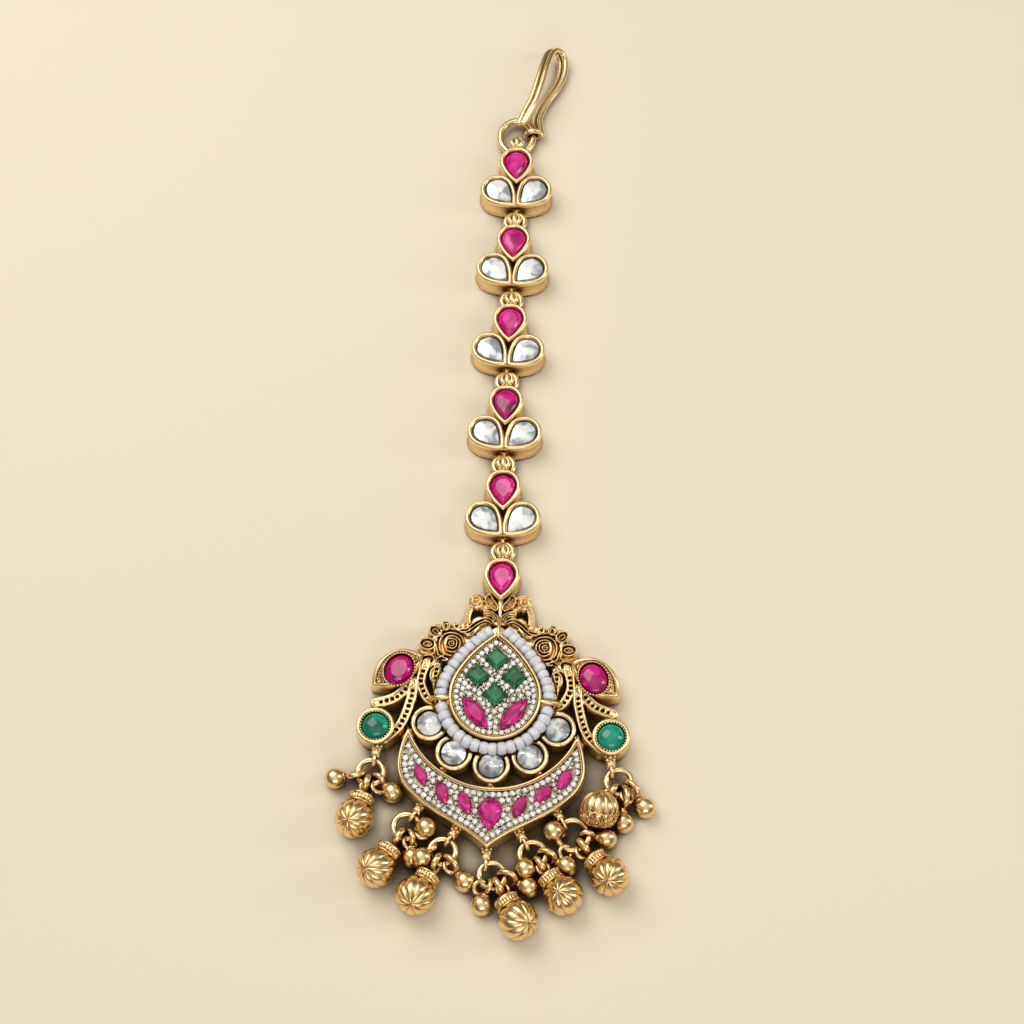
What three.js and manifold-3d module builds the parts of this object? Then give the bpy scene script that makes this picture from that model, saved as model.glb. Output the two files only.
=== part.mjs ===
// Maang tikka: a hair jewel of cast and soldered metal, laid flat on its back.
// Millimetres. +Z is the face, +Y runs up the chain to the hook, and the origin lies on the
// flat back, under the centre of the round end of the teardrop.
import * as THREE from 'three';
import { mergeVertices } from 'three/addons/utils/BufferGeometryUtils.js';
import Module from 'manifold-3d';

const wasm = await Module();
wasm.setup();

// Clear space between a stone and its setting, and between a ring and the ring it passes
const stoneGap = 0.12;
const ringGap = 0.25;

// Pear bezel: round head, reach from its centre to its point, angle where the flanks start
const bezel = { radius: 2.75, reach: 4.3, shoulder: 0.38, height: 4.1, wall: 0.72, seat: 3.2 };
const pearStone = { bed: 0.55, rise: 0.1, crown: 0.45, slope: 0.5 };

// Cast link: two white petals below the ruby bezel, lying out at 45 degrees
const petal = { out: 3.15, down: 5.55, turn: Math.PI / 4 };

// Small eyes cast on the links, and the jump rings between them
const eye = { radius: 1.0, wire: 0.3, rise: 1.4 };
const chainRing = { radius: 1.6, wire: 0.35 };
const chain = { lowerEye: 8.9, slack: 0.25 };

// Teardrop boss with its ledge for the seed beads
const boss = { radius: 7.1, reach: 10.3, shoulder: 0.49, height: 4.6, wall: 0.42, floor: 3.2 };
const beadString = { out: 1.15, radius: 0.9 };
const ledge = { out: 1.75, height: 2.25 };
const pave = { height: 1.05 };

// Round cups
const pearlCup = { out: 3.7, step: 32.5, radius: 2.85, wall: 0.8, height: 3.4, seat: 1.3 };
const greenCup = { x: 18.0, y: -5.55, radius: 2.9, wall: 0.62, height: 3.9, seat: 2.4 };
const leafCup = { x: 15.0, y: 3.7, height: 4.1, seat: 2.6 };
const sideRuby = { wide: 2.2, tall: 2.65, lean: 0.44 };
const topCup = { y: 20.35, seat: 2.7 };

// Crescent
const crescent = { inner: 13.76, rise: -0.84, height: 4.2, wall: 0.6, floor: 3.0 };

// Cast scrolls, arms and birds
const plate = { height: 2.5, relief: 0.5 };
const arm = { width: 1.5, height: 3.3 };

// Fringe
const dropRing = { wire: 0.4, rise: 2.0, least: 1.95 };
const lug = { radius: 0.8, low: 0.9, high: 3.3 };
const bell = { radius: 3.05, lobes: 10, groove: 0.1, collar: 1.95, reach: 4.7, bail: 0.4 };
const ball = { radius: 1.62, neck: 0.45, wire: 0.35, lean: 0.4 };

// Hook
const hookRing = { radius: 2.8, wire: 0.5, stretch: 1.15, rise: 1.45 };
const hook = { wire: 0.52, spread: 0.45, eye: 1.15 };

const vector = (x, y, z = 0) => new THREE.Vector3(x, y, z);
const upward = vector(0, 0, 1);
const sides = [-1, 1];

// Outlines, as counter-clockwise lists of points

function roundOutline(radius, count, x = 0, y = 0, tall = radius, lean = 0) {
  return Array.from({ length: count }, (_, i) => {
    const angle = (2 * Math.PI * (i + 0.5)) / count;
    const point = new THREE.Vector2(radius * Math.cos(angle), tall * Math.sin(angle));
    return point.rotateAround(new THREE.Vector2(), lean).add(new THREE.Vector2(x, y));
  });
}

// A round head at the origin, whose flank arcs meet in a point below it
function pearOutline({ radius, reach, shoulder }, grow = 0, flankSteps = 2, headSteps = 10) {
  const [s, c] = [Math.sin(shoulder), Math.cos(shoulder)];
  const offset = (reach ** 2 - radius ** 2) / (2 * (radius - reach * s));
  const flank = radius + offset + grow;
  const tip = offset * s - Math.sqrt(flank ** 2 - (offset * c) ** 2);
  const start = Math.atan2(tip - offset * s, offset * c);
  const right = Array.from({ length: flankSteps }, (_, i) => {
    const angle = start + ((-shoulder - start) * i) / flankSteps;
    return new THREE.Vector2(flank * Math.cos(angle) - offset * c, flank * Math.sin(angle) + offset * s);
  });
  const head = Array.from({ length: headSteps + 1 }, (_, i) => {
    const angle = -shoulder + ((Math.PI + 2 * shoulder) * i) / headSteps;
    return new THREE.Vector2((radius + grow) * Math.cos(angle), (radius + grow) * Math.sin(angle));
  });
  const left = right.slice(1).reverse().map((point) => new THREE.Vector2(-point.x, point.y));
  return [...right, ...head, ...left];
}

// Two equal arcs that meet in points, centred at x, y with its length along the angle
function marquiseOutline(length, width, x, y, angle, steps = 4) {
  const half = [length / 2, width / 2];
  const radius = (half[0] ** 2 + half[1] ** 2) / (2 * half[1]);
  const sweep = Math.asin(half[0] / radius);
  const arc = (turn) => Array.from({ length: steps }, (_, i) => {
    const at = -sweep + (2 * sweep * i) / steps;
    const point = new THREE.Vector2(radius * Math.sin(at), half[1] - radius + radius * Math.cos(at));
    return point.rotateAround(new THREE.Vector2(), turn);
  });
  const lens = [...arc(0), ...arc(Math.PI)].reverse();
  return lens.map((point) => point.rotateAround(new THREE.Vector2(), angle).add(new THREE.Vector2(x, y)));
}

// A square stone on its point, with clipped corners
function clippedSquare(side, clip, x, y) {
  const half = side / 2;
  const corner = [[half, clip - half], [half, half - clip], [half - clip, half], [clip - half, half]];
  const points = [...corner, ...corner.map(([a, b]) => [-a, -b])];
  return points.map(([a, b]) => new THREE.Vector2(a, b)
    .rotateAround(new THREE.Vector2(), Math.PI / 4).add(new THREE.Vector2(x, y)));
}

// A strip of even width along a smooth route, with round ends
function stripOutline(route, width, steps) {
  const curve = new THREE.SplineCurve(route.map(([x, y]) => new THREE.Vector2(x, y)));
  const line = curve.getPoints(steps);
  const edge = (side) => line.map((point, i) => {
    const along = curve.getTangent(i / steps);
    return new THREE.Vector2(point.x + side * along.y * width / 2, point.y - side * along.x * width / 2);
  });
  const cap = (point, along) => [-0.25, 0.25].map((turn) => along.clone()
    .rotateAround(new THREE.Vector2(), turn * Math.PI).multiplyScalar(width / 2).add(point));
  const endCap = cap(line[steps], curve.getTangent(1));
  const startCap = cap(line[0], curve.getTangent(0).negate());
  return [...edge(1), ...endCap, ...edge(-1).reverse(), ...startCap];
}

function moved(outline, x, y, turn = 0) {
  return outline.map((point) => point.clone()
    .rotateAround(new THREE.Vector2(), turn).add(new THREE.Vector2(x, y)));
}

function mirrored(outline, side) {
  return side > 0 ? outline : outline.map((point) => new THREE.Vector2(-point.x, point.y)).reverse();
}

// The distance from a point to the nearest edge of an outline
function edgeDistance(outline, point) {
  return Math.min(...outline.map((start, i) => {
    const along = outline[(i + 1) % outline.length].clone().sub(start);
    const share = point.clone().sub(start).dot(along) / along.lengthSq();
    const nearest = start.clone().addScaledVector(along, Math.min(1, Math.max(0, share)));
    return nearest.distanceTo(point);
  }));
}

// Moves each edge of an outline inward, and leaves out the points that this brings too near another edge
function inset(outline, distance) {
  const count = outline.length;
  const points = outline.map((point, i) => {
    const before = point.clone().sub(outline[(i + count - 1) % count]).normalize();
    const after = outline[(i + 1) % count].clone().sub(point).normalize();
    const normal = new THREE.Vector2(-before.y - after.y, before.x + after.x).normalize();
    const spread = normal.dot(new THREE.Vector2(-before.y, before.x));
    return point.clone().addScaledVector(normal, distance / Math.max(0.3, spread));
  });
  return points.filter((point) => edgeDistance(outline, point) > 0.97 * distance);
}

// Solids

function prism(outline, bottom, top) {
  const shape = new THREE.Shape(outline);
  const geometry = new THREE.ExtrudeGeometry(shape, { depth: top - bottom, bevelEnabled: false });
  return geometry.translate(0, 0, bottom);
}

// A stone with a flat table, sloping crown facets and the same below the girdle
function cutStone(outline, bottom, top, crown, slope) {
  const shape = new THREE.Shape(outline);
  const geometry = new THREE.ExtrudeGeometry(shape, {
    depth: top - bottom - 2 * crown,
    bevelThickness: crown,
    bevelSize: slope,
    bevelOffset: -slope,
    bevelSegments: 1,
  });
  return geometry.translate(0, 0, bottom + crown);
}

// A round stone with a domed top
function domedStone(radius, foot, bottom, girdle, top, count, rows) {
  const dome = Array.from({ length: rows + 1 }, (_, i) => {
    const angle = (Math.PI / 2) * (i / rows);
    return new THREE.Vector2(radius * Math.cos(angle), girdle + (top - girdle) * Math.sin(angle));
  });
  dome[rows].x = 0;
  const profile = [new THREE.Vector2(0, bottom), new THREE.Vector2(foot, bottom), ...dome];
  return new THREE.LatheGeometry(profile, count).rotateX(Math.PI / 2);
}

function ring(radius, wire, around = 12, section = 5) {
  return new THREE.TorusGeometry(radius, wire, section, around);
}

// Turns a shape made about the Z axis to lie about another axis, at a place
function about(geometry, axis, centre) {
  const turn = new THREE.Quaternion().setFromUnitVectors(upward, axis.clone().normalize());
  return geometry.applyQuaternion(turn).translate(centre.x, centre.y, centre.z);
}

function rod(from, to, startRadius, endRadius, count) {
  const length = from.distanceTo(to);
  const shape = new THREE.CylinderGeometry(endRadius, startRadius, length, count).rotateX(Math.PI / 2);
  return about(shape, to.clone().sub(from), from.clone().lerp(to, 0.5));
}

function block(wide, deep, bottom, top, x, y, turn = 0) {
  const shape = new THREE.BoxGeometry(wide, deep, top - bottom).rotateZ(turn);
  return shape.translate(x, y, (top + bottom) / 2);
}

// Joining and cutting

function solidOf(geometry) {
  const bare = geometry.clone();
  bare.deleteAttribute('normal');
  bare.deleteAttribute('uv');
  const merged = mergeVertices(bare, 1e-4);
  const kept = [];
  for (let i = 0; i < merged.index.count; i += 3) {
    const [a, b, c] = merged.index.array.slice(i, i + 3);
    if (a !== b && b !== c && c !== a) kept.push(a, b, c);
  }
  return new wasm.Manifold(new wasm.Mesh({
    numProp: 3,
    vertProperties: new Float32Array(merged.attributes.position.array),
    triVerts: new Uint32Array(kept),
  }));
}

function joined(geometries) {
  return geometries.map(solidOf).reduce((whole, piece) => whole.add(piece));
}

function cutBy(solid, geometries) {
  return geometries.map(solidOf).reduce((whole, piece) => whole.subtract(piece), solid);
}

function geometryOf(solid) {
  const mesh = solid.asOriginal().simplify(0.008).getMesh();
  const geometry = new THREE.BufferGeometry();
  geometry.setAttribute('position', new THREE.BufferAttribute(new Float32Array(mesh.vertProperties), 3));
  geometry.setIndex(new THREE.BufferAttribute(new Uint32Array(mesh.triVerts), 1));
  geometry.computeVertexNormals();
  return geometry;
}

// Colours of the materials
const looks = {
  gold: { color: 0xc79a55, roughness: 0.35, metalness: 1 },
  ruby: { color: 0xc4107e, roughness: 0.12, metalness: 0 },
  emerald: { color: 0x0b7444, roughness: 0.12, metalness: 0 },
  teal: { color: 0x12957c, roughness: 0.15, metalness: 0 },
  pearl: { color: 0xc9ccd2, roughness: 0.2, metalness: 0.2 },
  crystal: { color: 0xe6e4e0, roughness: 0.1, metalness: 0.1 },
  bead: { color: 0xd9dce4, roughness: 0.4, metalness: 0 },
};

const tikka = new THREE.Group();

function addPiece(name, geometry, look, place = vector(0, 0), turn = 0) {
  const mesh = new THREE.Mesh(geometry, new THREE.MeshStandardMaterial(looks[look]));
  mesh.name = name;
  mesh.position.copy(place);
  mesh.rotation.z = turn;
  tikka.add(mesh);
}

// Pear bezels: a prism, the seat cut in it, and its stone

const bezelPrism = (x, y, turn) => prism(moved(pearOutline(bezel, 0, 2, 9), x, y, turn), 0, bezel.height);
const bezelSeat = (x, y, turn, floor = bezel.seat) => prism(
  moved(pearOutline(bezel, -bezel.wall, 1, 8), x, y, turn), floor, bezel.height + 1);
const bezelStone = (x, y, turn, bottom) => cutStone(
  moved(pearOutline(bezel, -bezel.wall - stoneGap, 1, 8), x, y, turn),
  bottom, bezel.height + pearStone.rise, pearStone.crown, pearStone.slope);

// The eye on top of a ruby bezel stands upright, with a bud above it
const upperEye = bezel.radius + 0.2;
const eyeRing = (y) => ring(eye.radius, eye.wire, 8, 4).rotateY(Math.PI / 2).translate(0, y, eye.rise);
const ringRoom = (y) => {
  const half = chainRing.radius + chainRing.wire + 0.25;
  return block(2.4, 2 * half, eye.rise - chainRing.wire - 0.35, eye.rise + chainRing.wire + 0.25, 0, y);
};

function bud(y) {
  const shape = moved(pearOutline({ radius: 0.72, reach: 1.35, shoulder: 0.4 }, 0, 1, 4), 0, 0, Math.PI);
  return prism(shape, 2.35, 3.4).translate(0, y + 0.55, 0);
}

function upperEyeOn(solid, y) {
  const cleared = cutBy(solid, [ringRoom(y + upperEye + chainRing.radius)]);
  return cleared.add(joined([eyeRing(y + upperEye), bud(y + upperEye - 0.2)]));
}

function chainLink() {
  const petals = sides.map((side) => [side * petal.out, -petal.down, side * petal.turn]);
  const places = [[0, 0, 0], ...petals.map(([x, y, turn]) => [x, y, -turn])];
  const solder = sides.map((side) => block(1.3, 1.3, 0, 3.1, side * 1.45, -3.3, Math.PI / 4));
  const body = cutBy(joined([...places.map((at) => bezelPrism(...at)), ...solder]),
    [ringRoom(-chain.lowerEye - chainRing.radius), ...places.map((at) => bezelSeat(...at))]);
  const withLower = body.add(solidOf(eyeRing(-chain.lowerEye)));
  const stones = places.map((at) => bezelStone(...at, bezel.seat - pearStone.bed));
  return geometryOf(upperEyeOn(withLower, 0).add(joined(stones)));
}

// Pendant frame

function crescentOutline() {
  const horn = [12.95, -5.5];
  const side = new THREE.SplineCurve([[0, -24.0], [3.45, -21.5], [7.3, -19.35], [10.6, -17.2],
    [13.2, -14.6], [14.2, -11.8], [13.9, -8.6], horn].map(([x, y]) => new THREE.Vector2(x, y)));
  const right = side.getPoints(11);
  const sweep = Math.atan2(horn[0], crescent.rise - horn[1]);
  const inner = Array.from({ length: 9 }, (_, i) => {
    const angle = sweep - (2 * sweep * (i + 1)) / 10;
    return new THREE.Vector2(Math.sin(angle), -Math.cos(angle)).multiplyScalar(crescent.inner)
      .add(new THREE.Vector2(0, crescent.rise));
  });
  const left = right.slice(1).reverse().map((point) => new THREE.Vector2(-point.x, point.y));
  return [...right, ...inner, ...left];
}

const leafPoints = [[11.4, 6.6], [11.9, 4.6], [13.3, 2.1], [15.8, 0.8], [19.2, 1.1], [18.9, 3.6],
  [17.6, 5.9], [15.0, 7.3], [12.9, 7.0]];

function leafOutline() {
  return leafPoints.map(([x, y]) => new THREE.Vector2(x, y));
}

const armRoutes = [
  { route: [[12.9, 1.9], [15.3, -0.5], [18.4, -1.75]], steps: 4 },
  { route: [[12.6, 3.2], [12.9, -1.0], [14.2, -5.0], [16.8, -7.6]], steps: 7 },
  { route: [[10.9, 5.0], [11.5, 2.2], [10.4, -0.3], [8.6, -1.3]], steps: 6 },
  { route: [[9.2, 4.6], [9.1, 2.6], [8.4, 0.6]], steps: 3 },
];

const scrolls = [
  { x: 7.25, y: 8.8, radius: 2.4, ridges: true },
  { x: 9.6, y: 10.7, radius: 1.25 },
  { x: 10.8, y: 8.3, radius: 1.4 },
  { x: 10.7, y: 5.7, radius: 1.35 },
  { x: 5.0, y: 11.0, radius: 1.6 },
  { x: 3.0, y: 12.2, radius: 1.5 },
];

const birdBands = [
  { route: [[3.7, 16.0], [5.5, 15.0], [5.6, 12.9], [4.3, 11.6]], width: 1.0, steps: 6 },
  { route: [[3.7, 16.0], [2.2, 15.0], [1.9, 13.2], [2.6, 11.8]], width: 1.3, steps: 5 },
];

function annulus(outer, inner, count, bottom, top, x, y) {
  const shape = new THREE.Shape(roundOutline(outer, count, x, y));
  shape.holes.push(new THREE.Path(roundOutline(inner, count, x, y)));
  const geometry = new THREE.ExtrudeGeometry(shape, { depth: top - bottom, bevelEnabled: false });
  return geometry.translate(0, 0, bottom);
}

function scrollWork(side) {
  const discs = scrolls.map(({ x, y, radius, ridges }) => prism(
    roundOutline(radius, ridges ? 12 : 8, side * x, y), 0, plate.height));
  const rosette = scrolls[0];
  const ridge = annulus(1.9, 1.35, 10, plate.height - 0.2, plate.height + plate.relief,
    side * rosette.x, rosette.y);
  const knob = prism(roundOutline(0.7, 6, side * rosette.x, rosette.y), plate.height - 0.2,
    plate.height + plate.relief);
  const arms = armRoutes.map(({ route, steps }) => prism(
    mirrored(stripOutline(route, arm.width, steps), side), 0, arm.height));
  return [...discs, ridge, knob, ...arms];
}

function bird(side) {
  const bands = birdBands.map(({ route, width, steps }) => prism(
    mirrored(stripOutline(route, width, steps), side), 0, plate.height));
  const head = prism(roundOutline(1.35, 10, side * 3.7, 16.0), 0, plate.height + plate.relief);
  const wing = prism(moved(pearOutline({ radius: 0.8, reach: 1.7, shoulder: 0.3 }, 0, 1, 6),
    side * 1.0, 15.3, side * 0.35), 0, plate.height + 0.3);
  return [...bands, head, wing];
}

const pearlPlaces = [-2, -1, 0, 1, 2].map((step) => {
  const angle = (step * pearlCup.step * Math.PI) / 180;
  return vector(Math.sin(angle), -Math.cos(angle)).multiplyScalar(boss.radius + pearlCup.out);
});

// Lugs under the frame: place, and the way the lug points, in degrees from +X
const lugs = [
  { x: -17.6, y: -9.2, heading: 262 },
  { x: -10.5, y: -17.9, heading: 238 },
  { x: -5.0, y: -21.4, heading: 240 },
  { x: 0, y: -24.6, heading: 270 },
  { x: 5.0, y: -21.4, heading: 300 },
  { x: 10.5, y: -17.9, heading: 302 },
  { x: 18.1, y: -9.2, heading: 278 },
];

const headingOf = (degrees) => vector(Math.cos(degrees * Math.PI / 180), Math.sin(degrees * Math.PI / 180));
const lugEye = lugs.map(({ x, y, heading }) => vector(x, y, dropRing.rise)
  .addScaledVector(headingOf(heading), lug.radius + dropRing.wire + 0.25));

function lugSolids({ x, y, heading }, index) {
  const along = headingOf(heading);
  const half = lug.radius;
  const shape = [[-1.9, -0.5], [0, -half], [half, -0.4], [half, 0.4], [0, half], [-1.9, 0.5]];
  const outline = shape.map(([a, b]) => new THREE.Vector2(a, b));
  const knob = prism(moved(outline, x, y, heading * Math.PI / 180), lug.low, lug.high);
  const across = vector(-along.y, along.x);
  return [knob, about(ring(eye.radius, eye.wire, 8, 4), across, lugEye[index])];
}

// Gold bars that part the seed beads below the widest place, and the pin above the tip
const barTurns = sides.map((side) => ({ side, angle: -0.07 }));

function barSolid(grow) {
  return barTurns.map(({ side, angle }) => {
    const reach = [boss.radius - 0.3, boss.radius + 2 * beadString.out + 0.35];
    const middle = side * (reach[0] + reach[1]) / 2;
    return block(reach[1] - reach[0] + grow, 0.8 + 2 * grow, boss.floor + 0.3 - grow,
      boss.height - 0.4 + grow, middle, angle * middle * side, side * angle);
  });
}

function pendantFrame() {
  const bossOutline = (grow) => moved(pearOutline(boss, grow, 3, 14), 0, 0, Math.PI);
  const crescentShape = crescentOutline();
  const round = (cup, x, y) => prism(roundOutline(cup.radius, 14, x, y), 0, cup.height);
  const nubs = pearlPlaces.map((place) => {
    const out = place.clone().normalize();
    const from = place.clone().addScaledVector(out, pearlCup.radius - 0.4);
    const middle = from.addScaledVector(out, 0.85);
    return block(1.7, 1.0, 0, 2.4, middle.x, middle.y, Math.atan2(out.y, out.x));
  });
  const posts = sides.map((side) => block(0.7, 1.0, 0, boss.height - 0.4,
    side * (boss.radius + 2 * beadString.out + 0.45), -0.65));
  const rim = joined([
    prism(bossOutline(ledge.out), 0, ledge.height),
    ...pearlPlaces.map((place) => round(pearlCup, place.x, place.y)),
    prism(crescentShape, 0, crescent.height),
    ...sides.flatMap((side) => [
      round(greenCup, side * greenCup.x, greenCup.y),
      prism(mirrored(leafOutline(), side), 0, leafCup.height),
      ...scrollWork(side), ...bird(side)]),
    bezelPrism(0, topCup.y, 0),
    ...nubs,
  ]);
  const beadRoom = prism(bossOutline(2 * beadString.out), ledge.height, boss.height + 1);
  const cleared = cutBy(rim, [beadRoom]).add(joined([
    prism(bossOutline(0), 0, boss.height),
    block(0.6, 2.9, 0, boss.height - 0.5, 0, boss.reach + 1.1),
    block(0.9, 5.0, 0, plate.height, 0, boss.reach + 4.4),
    ...barSolid(0), ...posts, ...lugs.flatMap(lugSolids)]));
  const seated = cutBy(cleared, [
    prism(bossOutline(-boss.wall), boss.floor, boss.height + 1),
    prism(inset(crescentShape, crescent.wall), crescent.floor, crescent.height + 1),
    ...pearlPlaces.map((place) => prism(
      roundOutline(pearlCup.radius - pearlCup.wall, 12, place.x, place.y), pearlCup.seat, boss.height)),
    ...sides.flatMap((side) => [
      prism(roundOutline(greenCup.radius - greenCup.wall, 12, side * greenCup.x, greenCup.y),
        greenCup.seat, greenCup.height + 1),
      prism(roundOutline(sideRuby.wide, 12, side * leafCup.x, leafCup.y, sideRuby.tall, side * sideRuby.lean),
        leafCup.seat, leafCup.height + 1)]),
    bezelSeat(0, topCup.y, 0, topCup.seat),
  ]);
  return geometryOf(upperEyeOn(seated, topCup.y));
}

addPiece('pendant_frame', pendantFrame(), 'gold');

// Chain, from the pendant up to the hook: sideways place and turn of each link as it lies
const linkPitch = upperEye + chain.lowerEye + 2 * chainRing.radius;
const linkLay = [
  { x: -0.6, turn: 2.3 },
  { x: -0.92, turn: 0.6 },
  { x: -1.02, turn: -0.6 },
  { x: -1.21, turn: 0.8 },
  { x: -1.45, turn: 2.1 },
];
const linkPlaces = linkLay.map(({ x, turn }, index) => ({
  place: vector(x, topCup.y + chain.slack + (index + 1) * linkPitch),
  turn: turn * Math.PI / 180,
}));
const linkShape = chainLink();
const pointOn = ({ place, turn }, y) => vector(0, y, eye.rise).applyAxisAngle(upward, turn).add(place);

linkPlaces.forEach((link, index) => {
  addPiece(`chain_link_${index + 1}`, linkShape, 'gold', link.place, link.turn);
  const below = index === 0
    ? vector(0, topCup.y + upperEye, eye.rise)
    : pointOn(linkPlaces[index - 1], upperEye);
  const middle = below.lerp(pointOn(link, -chain.lowerEye), 0.5);
  addPiece(`chain_ring_${index + 1}`, ring(chainRing.radius, chainRing.wire, 10), 'gold', middle);
});

// Stones of the pendant

const emeraldSide = 3.0;
const emeralds = [[0, 6.05], [-2.8, 3.15], [2.8, 3.15], [0, 0.15]];
const marquise = { length: 6.5, width: 2.6, x: 2.95, y: -2.85, lean: 0.9 };
const emeraldOutline = ([x, y], gap = 0) => clippedSquare(emeraldSide + 2 * gap, 0.4, x, y);
const marquiseAt = (side, gap = 0) => marquiseOutline(marquise.length + 3 * gap, marquise.width + 2 * gap,
  side * marquise.x, marquise.y, side > 0 ? marquise.lean : Math.PI - marquise.lean);
const bossStone = (outline) => cutStone(outline, boss.floor + stoneGap, boss.height + 0.15, 0.5, 0.55);
const sideName = (side) => (side < 0 ? 'left' : 'right');

addPiece('top_ruby', bezelStone(0, 0, 0, topCup.seat + stoneGap), 'ruby', vector(0, topCup.y));
pearlPlaces.forEach((place, index) => {
  const radius = pearlCup.radius - pearlCup.wall - stoneGap;
  const shape = domedStone(radius, radius - 0.6, pearlCup.seat + stoneGap, 2.1, 3.7, 12, 2);
  addPiece(`pearl_${index + 1}`, shape, 'pearl', place);
});
sides.forEach((side) => {
  const green = greenCup.radius - greenCup.wall - stoneGap;
  addPiece(`green_cabochon_${sideName(side)}`, domedStone(green, green - 0.2, greenCup.seat + stoneGap,
    3.3, 4.6, 12, 2), 'teal', vector(side * greenCup.x, greenCup.y));
  const oval = roundOutline(sideRuby.wide - stoneGap, 12, 0, 0, sideRuby.tall - stoneGap,
    side * sideRuby.lean);
  addPiece(`side_ruby_${sideName(side)}`, cutStone(oval, leafCup.seat + stoneGap, 4.5, 0.5, 0.6), 'ruby',
    vector(side * leafCup.x, leafCup.y));
  addPiece(`marquise_${sideName(side)}`, bossStone(marquiseAt(side)), 'ruby');
});
emeralds.forEach((place, index) => {
  addPiece(`emerald_${index + 1}`, bossStone(emeraldOutline(place)), 'emerald');
});

// Fields of small stones, with open sockets for the larger ones
const teardropField = prism(moved(pearOutline(boss, -boss.wall - stoneGap, 3, 14), 0, 0, Math.PI),
  boss.floor + 0.1, boss.floor + pave.height);
addPiece('teardrop_pave', geometryOf(cutBy(solidOf(teardropField),
  [...emeralds.map((place) => emeraldOutline(place, stoneGap)),
    ...sides.map((side) => marquiseAt(side, stoneGap))]
    .map((outline) => prism(outline, 0, boss.height + 1)))), 'crystal');

// Stones of the crescent, midway between its inner rim and an outer radius, at a turn from
// straight down
const midCrescent = (turn, outer) => {
  const radius = (crescent.inner + outer) / 2;
  return vector(radius * Math.sin(turn), crescent.rise - radius * Math.cos(turn));
};
const crescentRubies = [
  { turn: -0.713, outer: 18.65, length: 3.7, width: 1.75, lean: -1.13 },
  { turn: -0.451, outer: 19.26, length: 4.0, width: 1.9, lean: -1.2 },
  { turn: -0.217, outer: 19.74, length: 4.0, width: 1.9, lean: -1.2 },
  { turn: 0.271, outer: 20.61, length: 3.9, width: 1.9, lean: 1.08 },
  { turn: 0.514, outer: 19.21, length: 3.8, width: 1.9, lean: 0.8 },
  { turn: 0.753, outer: 19.01, length: 3.8, width: 1.75, lean: 1.05 },
];
const pearPlace = midCrescent(0.012, 20.56);
const crescentPear = moved(pearOutline({ radius: 1.85, reach: 3.4, shoulder: 0.3 }, 0, 2, 8),
  pearPlace.x, pearPlace.y);
const crescentStones = [crescentPear, ...crescentRubies.map(({ turn, outer, length, width, lean }) => {
  const place = midCrescent(turn, outer);
  return marquiseOutline(length, width, place.x, place.y, lean, 3);
})];
addPiece('crescent_pave', geometryOf(joined([
  prism(inset(crescentOutline(), crescent.wall + stoneGap), crescent.floor + 0.1, crescent.height - 0.1),
  ...crescentStones.map((outline) => (
    cutStone(outline, crescent.floor + 0.3, crescent.height + 0.35, 0.4, 0.4))),
])), 'crystal');

// The string of seed beads, open at the tip of the teardrop
const beadRise = ledge.height + beadString.radius + 0.06;
const stringPoints = moved(pearOutline(boss, beadString.out, 5, 16), 0, 0, Math.PI).slice(1)
  .map((point) => vector(point.x, point.y, beadRise));
const stringEnd = vector(1.05, boss.reach + 0.6, beadRise);
const stringRoute = new THREE.CatmullRomCurve3([
  vector(-stringEnd.x, stringEnd.y, stringEnd.z), ...stringPoints, stringEnd]);
const stringTube = new THREE.ExtrudeGeometry(new THREE.Shape(roundOutline(beadString.radius, 8)),
  { steps: 23, bevelEnabled: false, extrudePath: stringRoute });
addPiece('seed_bead_string', geometryOf(cutBy(solidOf(stringTube), barSolid(0.15))), 'bead');

// Fringe: each lug holds a jump ring, and the ring holds one bell and two balls

// Bell place, height above the floor and way of its star pole; where the two balls lie, and the
// angles at which they catch the ring, in degrees from +X
const fringe = [
  { bell: [-20.2, -20.2], star: [-0.26, -0.38, 0.89],
    balls: [{ at: [-23.7, -13.6], catch: 190 }, { at: [-14.8, -15.4], catch: 320 }] },
  { bell: [-16.4, -27.7], star: [-0.48, -0.25, 0.84],
    balls: [{ at: [-9.3, -20.9], rise: 2.9, catch: 345 }, { at: [-11.1, -25.4], catch: 290 }] },
  { bell: [-10.2, -31.6], star: [-0.15, -0.65, 0.75],
    balls: [{ at: [-9.6, -25.7], rise: 2.9, catch: 176 }, { at: [-3.0, -28.7], catch: 300 }] },
  { bell: [5.25, -34.6], star: [0.56, -0.32, 0.77],
    balls: [{ at: [-0.3, -32.2], catch: 254 }, { at: [6.5, -29.1], catch: 354 }] },
  { bell: [11.8, -30.5], star: [-0.3, -0.04, 0.95],
    balls: [{ at: [5.9, -26.5], rise: 3.1, catch: 240 }, { at: [12.1, -25.6], catch: 357 }] },
  { bell: [18.6, -27.2], star: [-0.16, -0.47, 0.87],
    balls: [{ at: [9.9, -20.5], rise: 3.1, catch: 173 }, { at: [17.9, -21.0], catch: 0 }] },
  { bell: [16.65, -17.1], rise: 1.35, star: [0.1, 0.9, -0.4], swing: 52, plain: true,
    balls: [{ at: [20.4, -18.4], catch: 288 }, { at: [23.6, -15.9], catch: 330 }] },
];

// A loop from the end of a neck round the wire of another ring
function loopRound(neckEnd, caught, tangent, wire, lean) {
  const way = caught.clone().sub(neckEnd);
  const sink = 0.2;
  const radius = (way.length() + dropRing.wire + ringGap + sink) / 2;
  way.normalize();
  const normal = tangent.clone().addScaledVector(way, -tangent.dot(way)).normalize()
    .applyAxisAngle(way, lean);
  return about(ring(radius, wire, 10), normal, neckEnd.clone().addScaledVector(way, radius + wire - sink));
}

// The wire point of a ring at an angle, and the way the wire runs there
function wirePoint(centre, radius, angle) {
  const out = vector(Math.cos(angle), Math.sin(angle));
  return { caught: centre.clone().addScaledVector(out, radius), tangent: vector(-out.y, out.x) };
}

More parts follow.
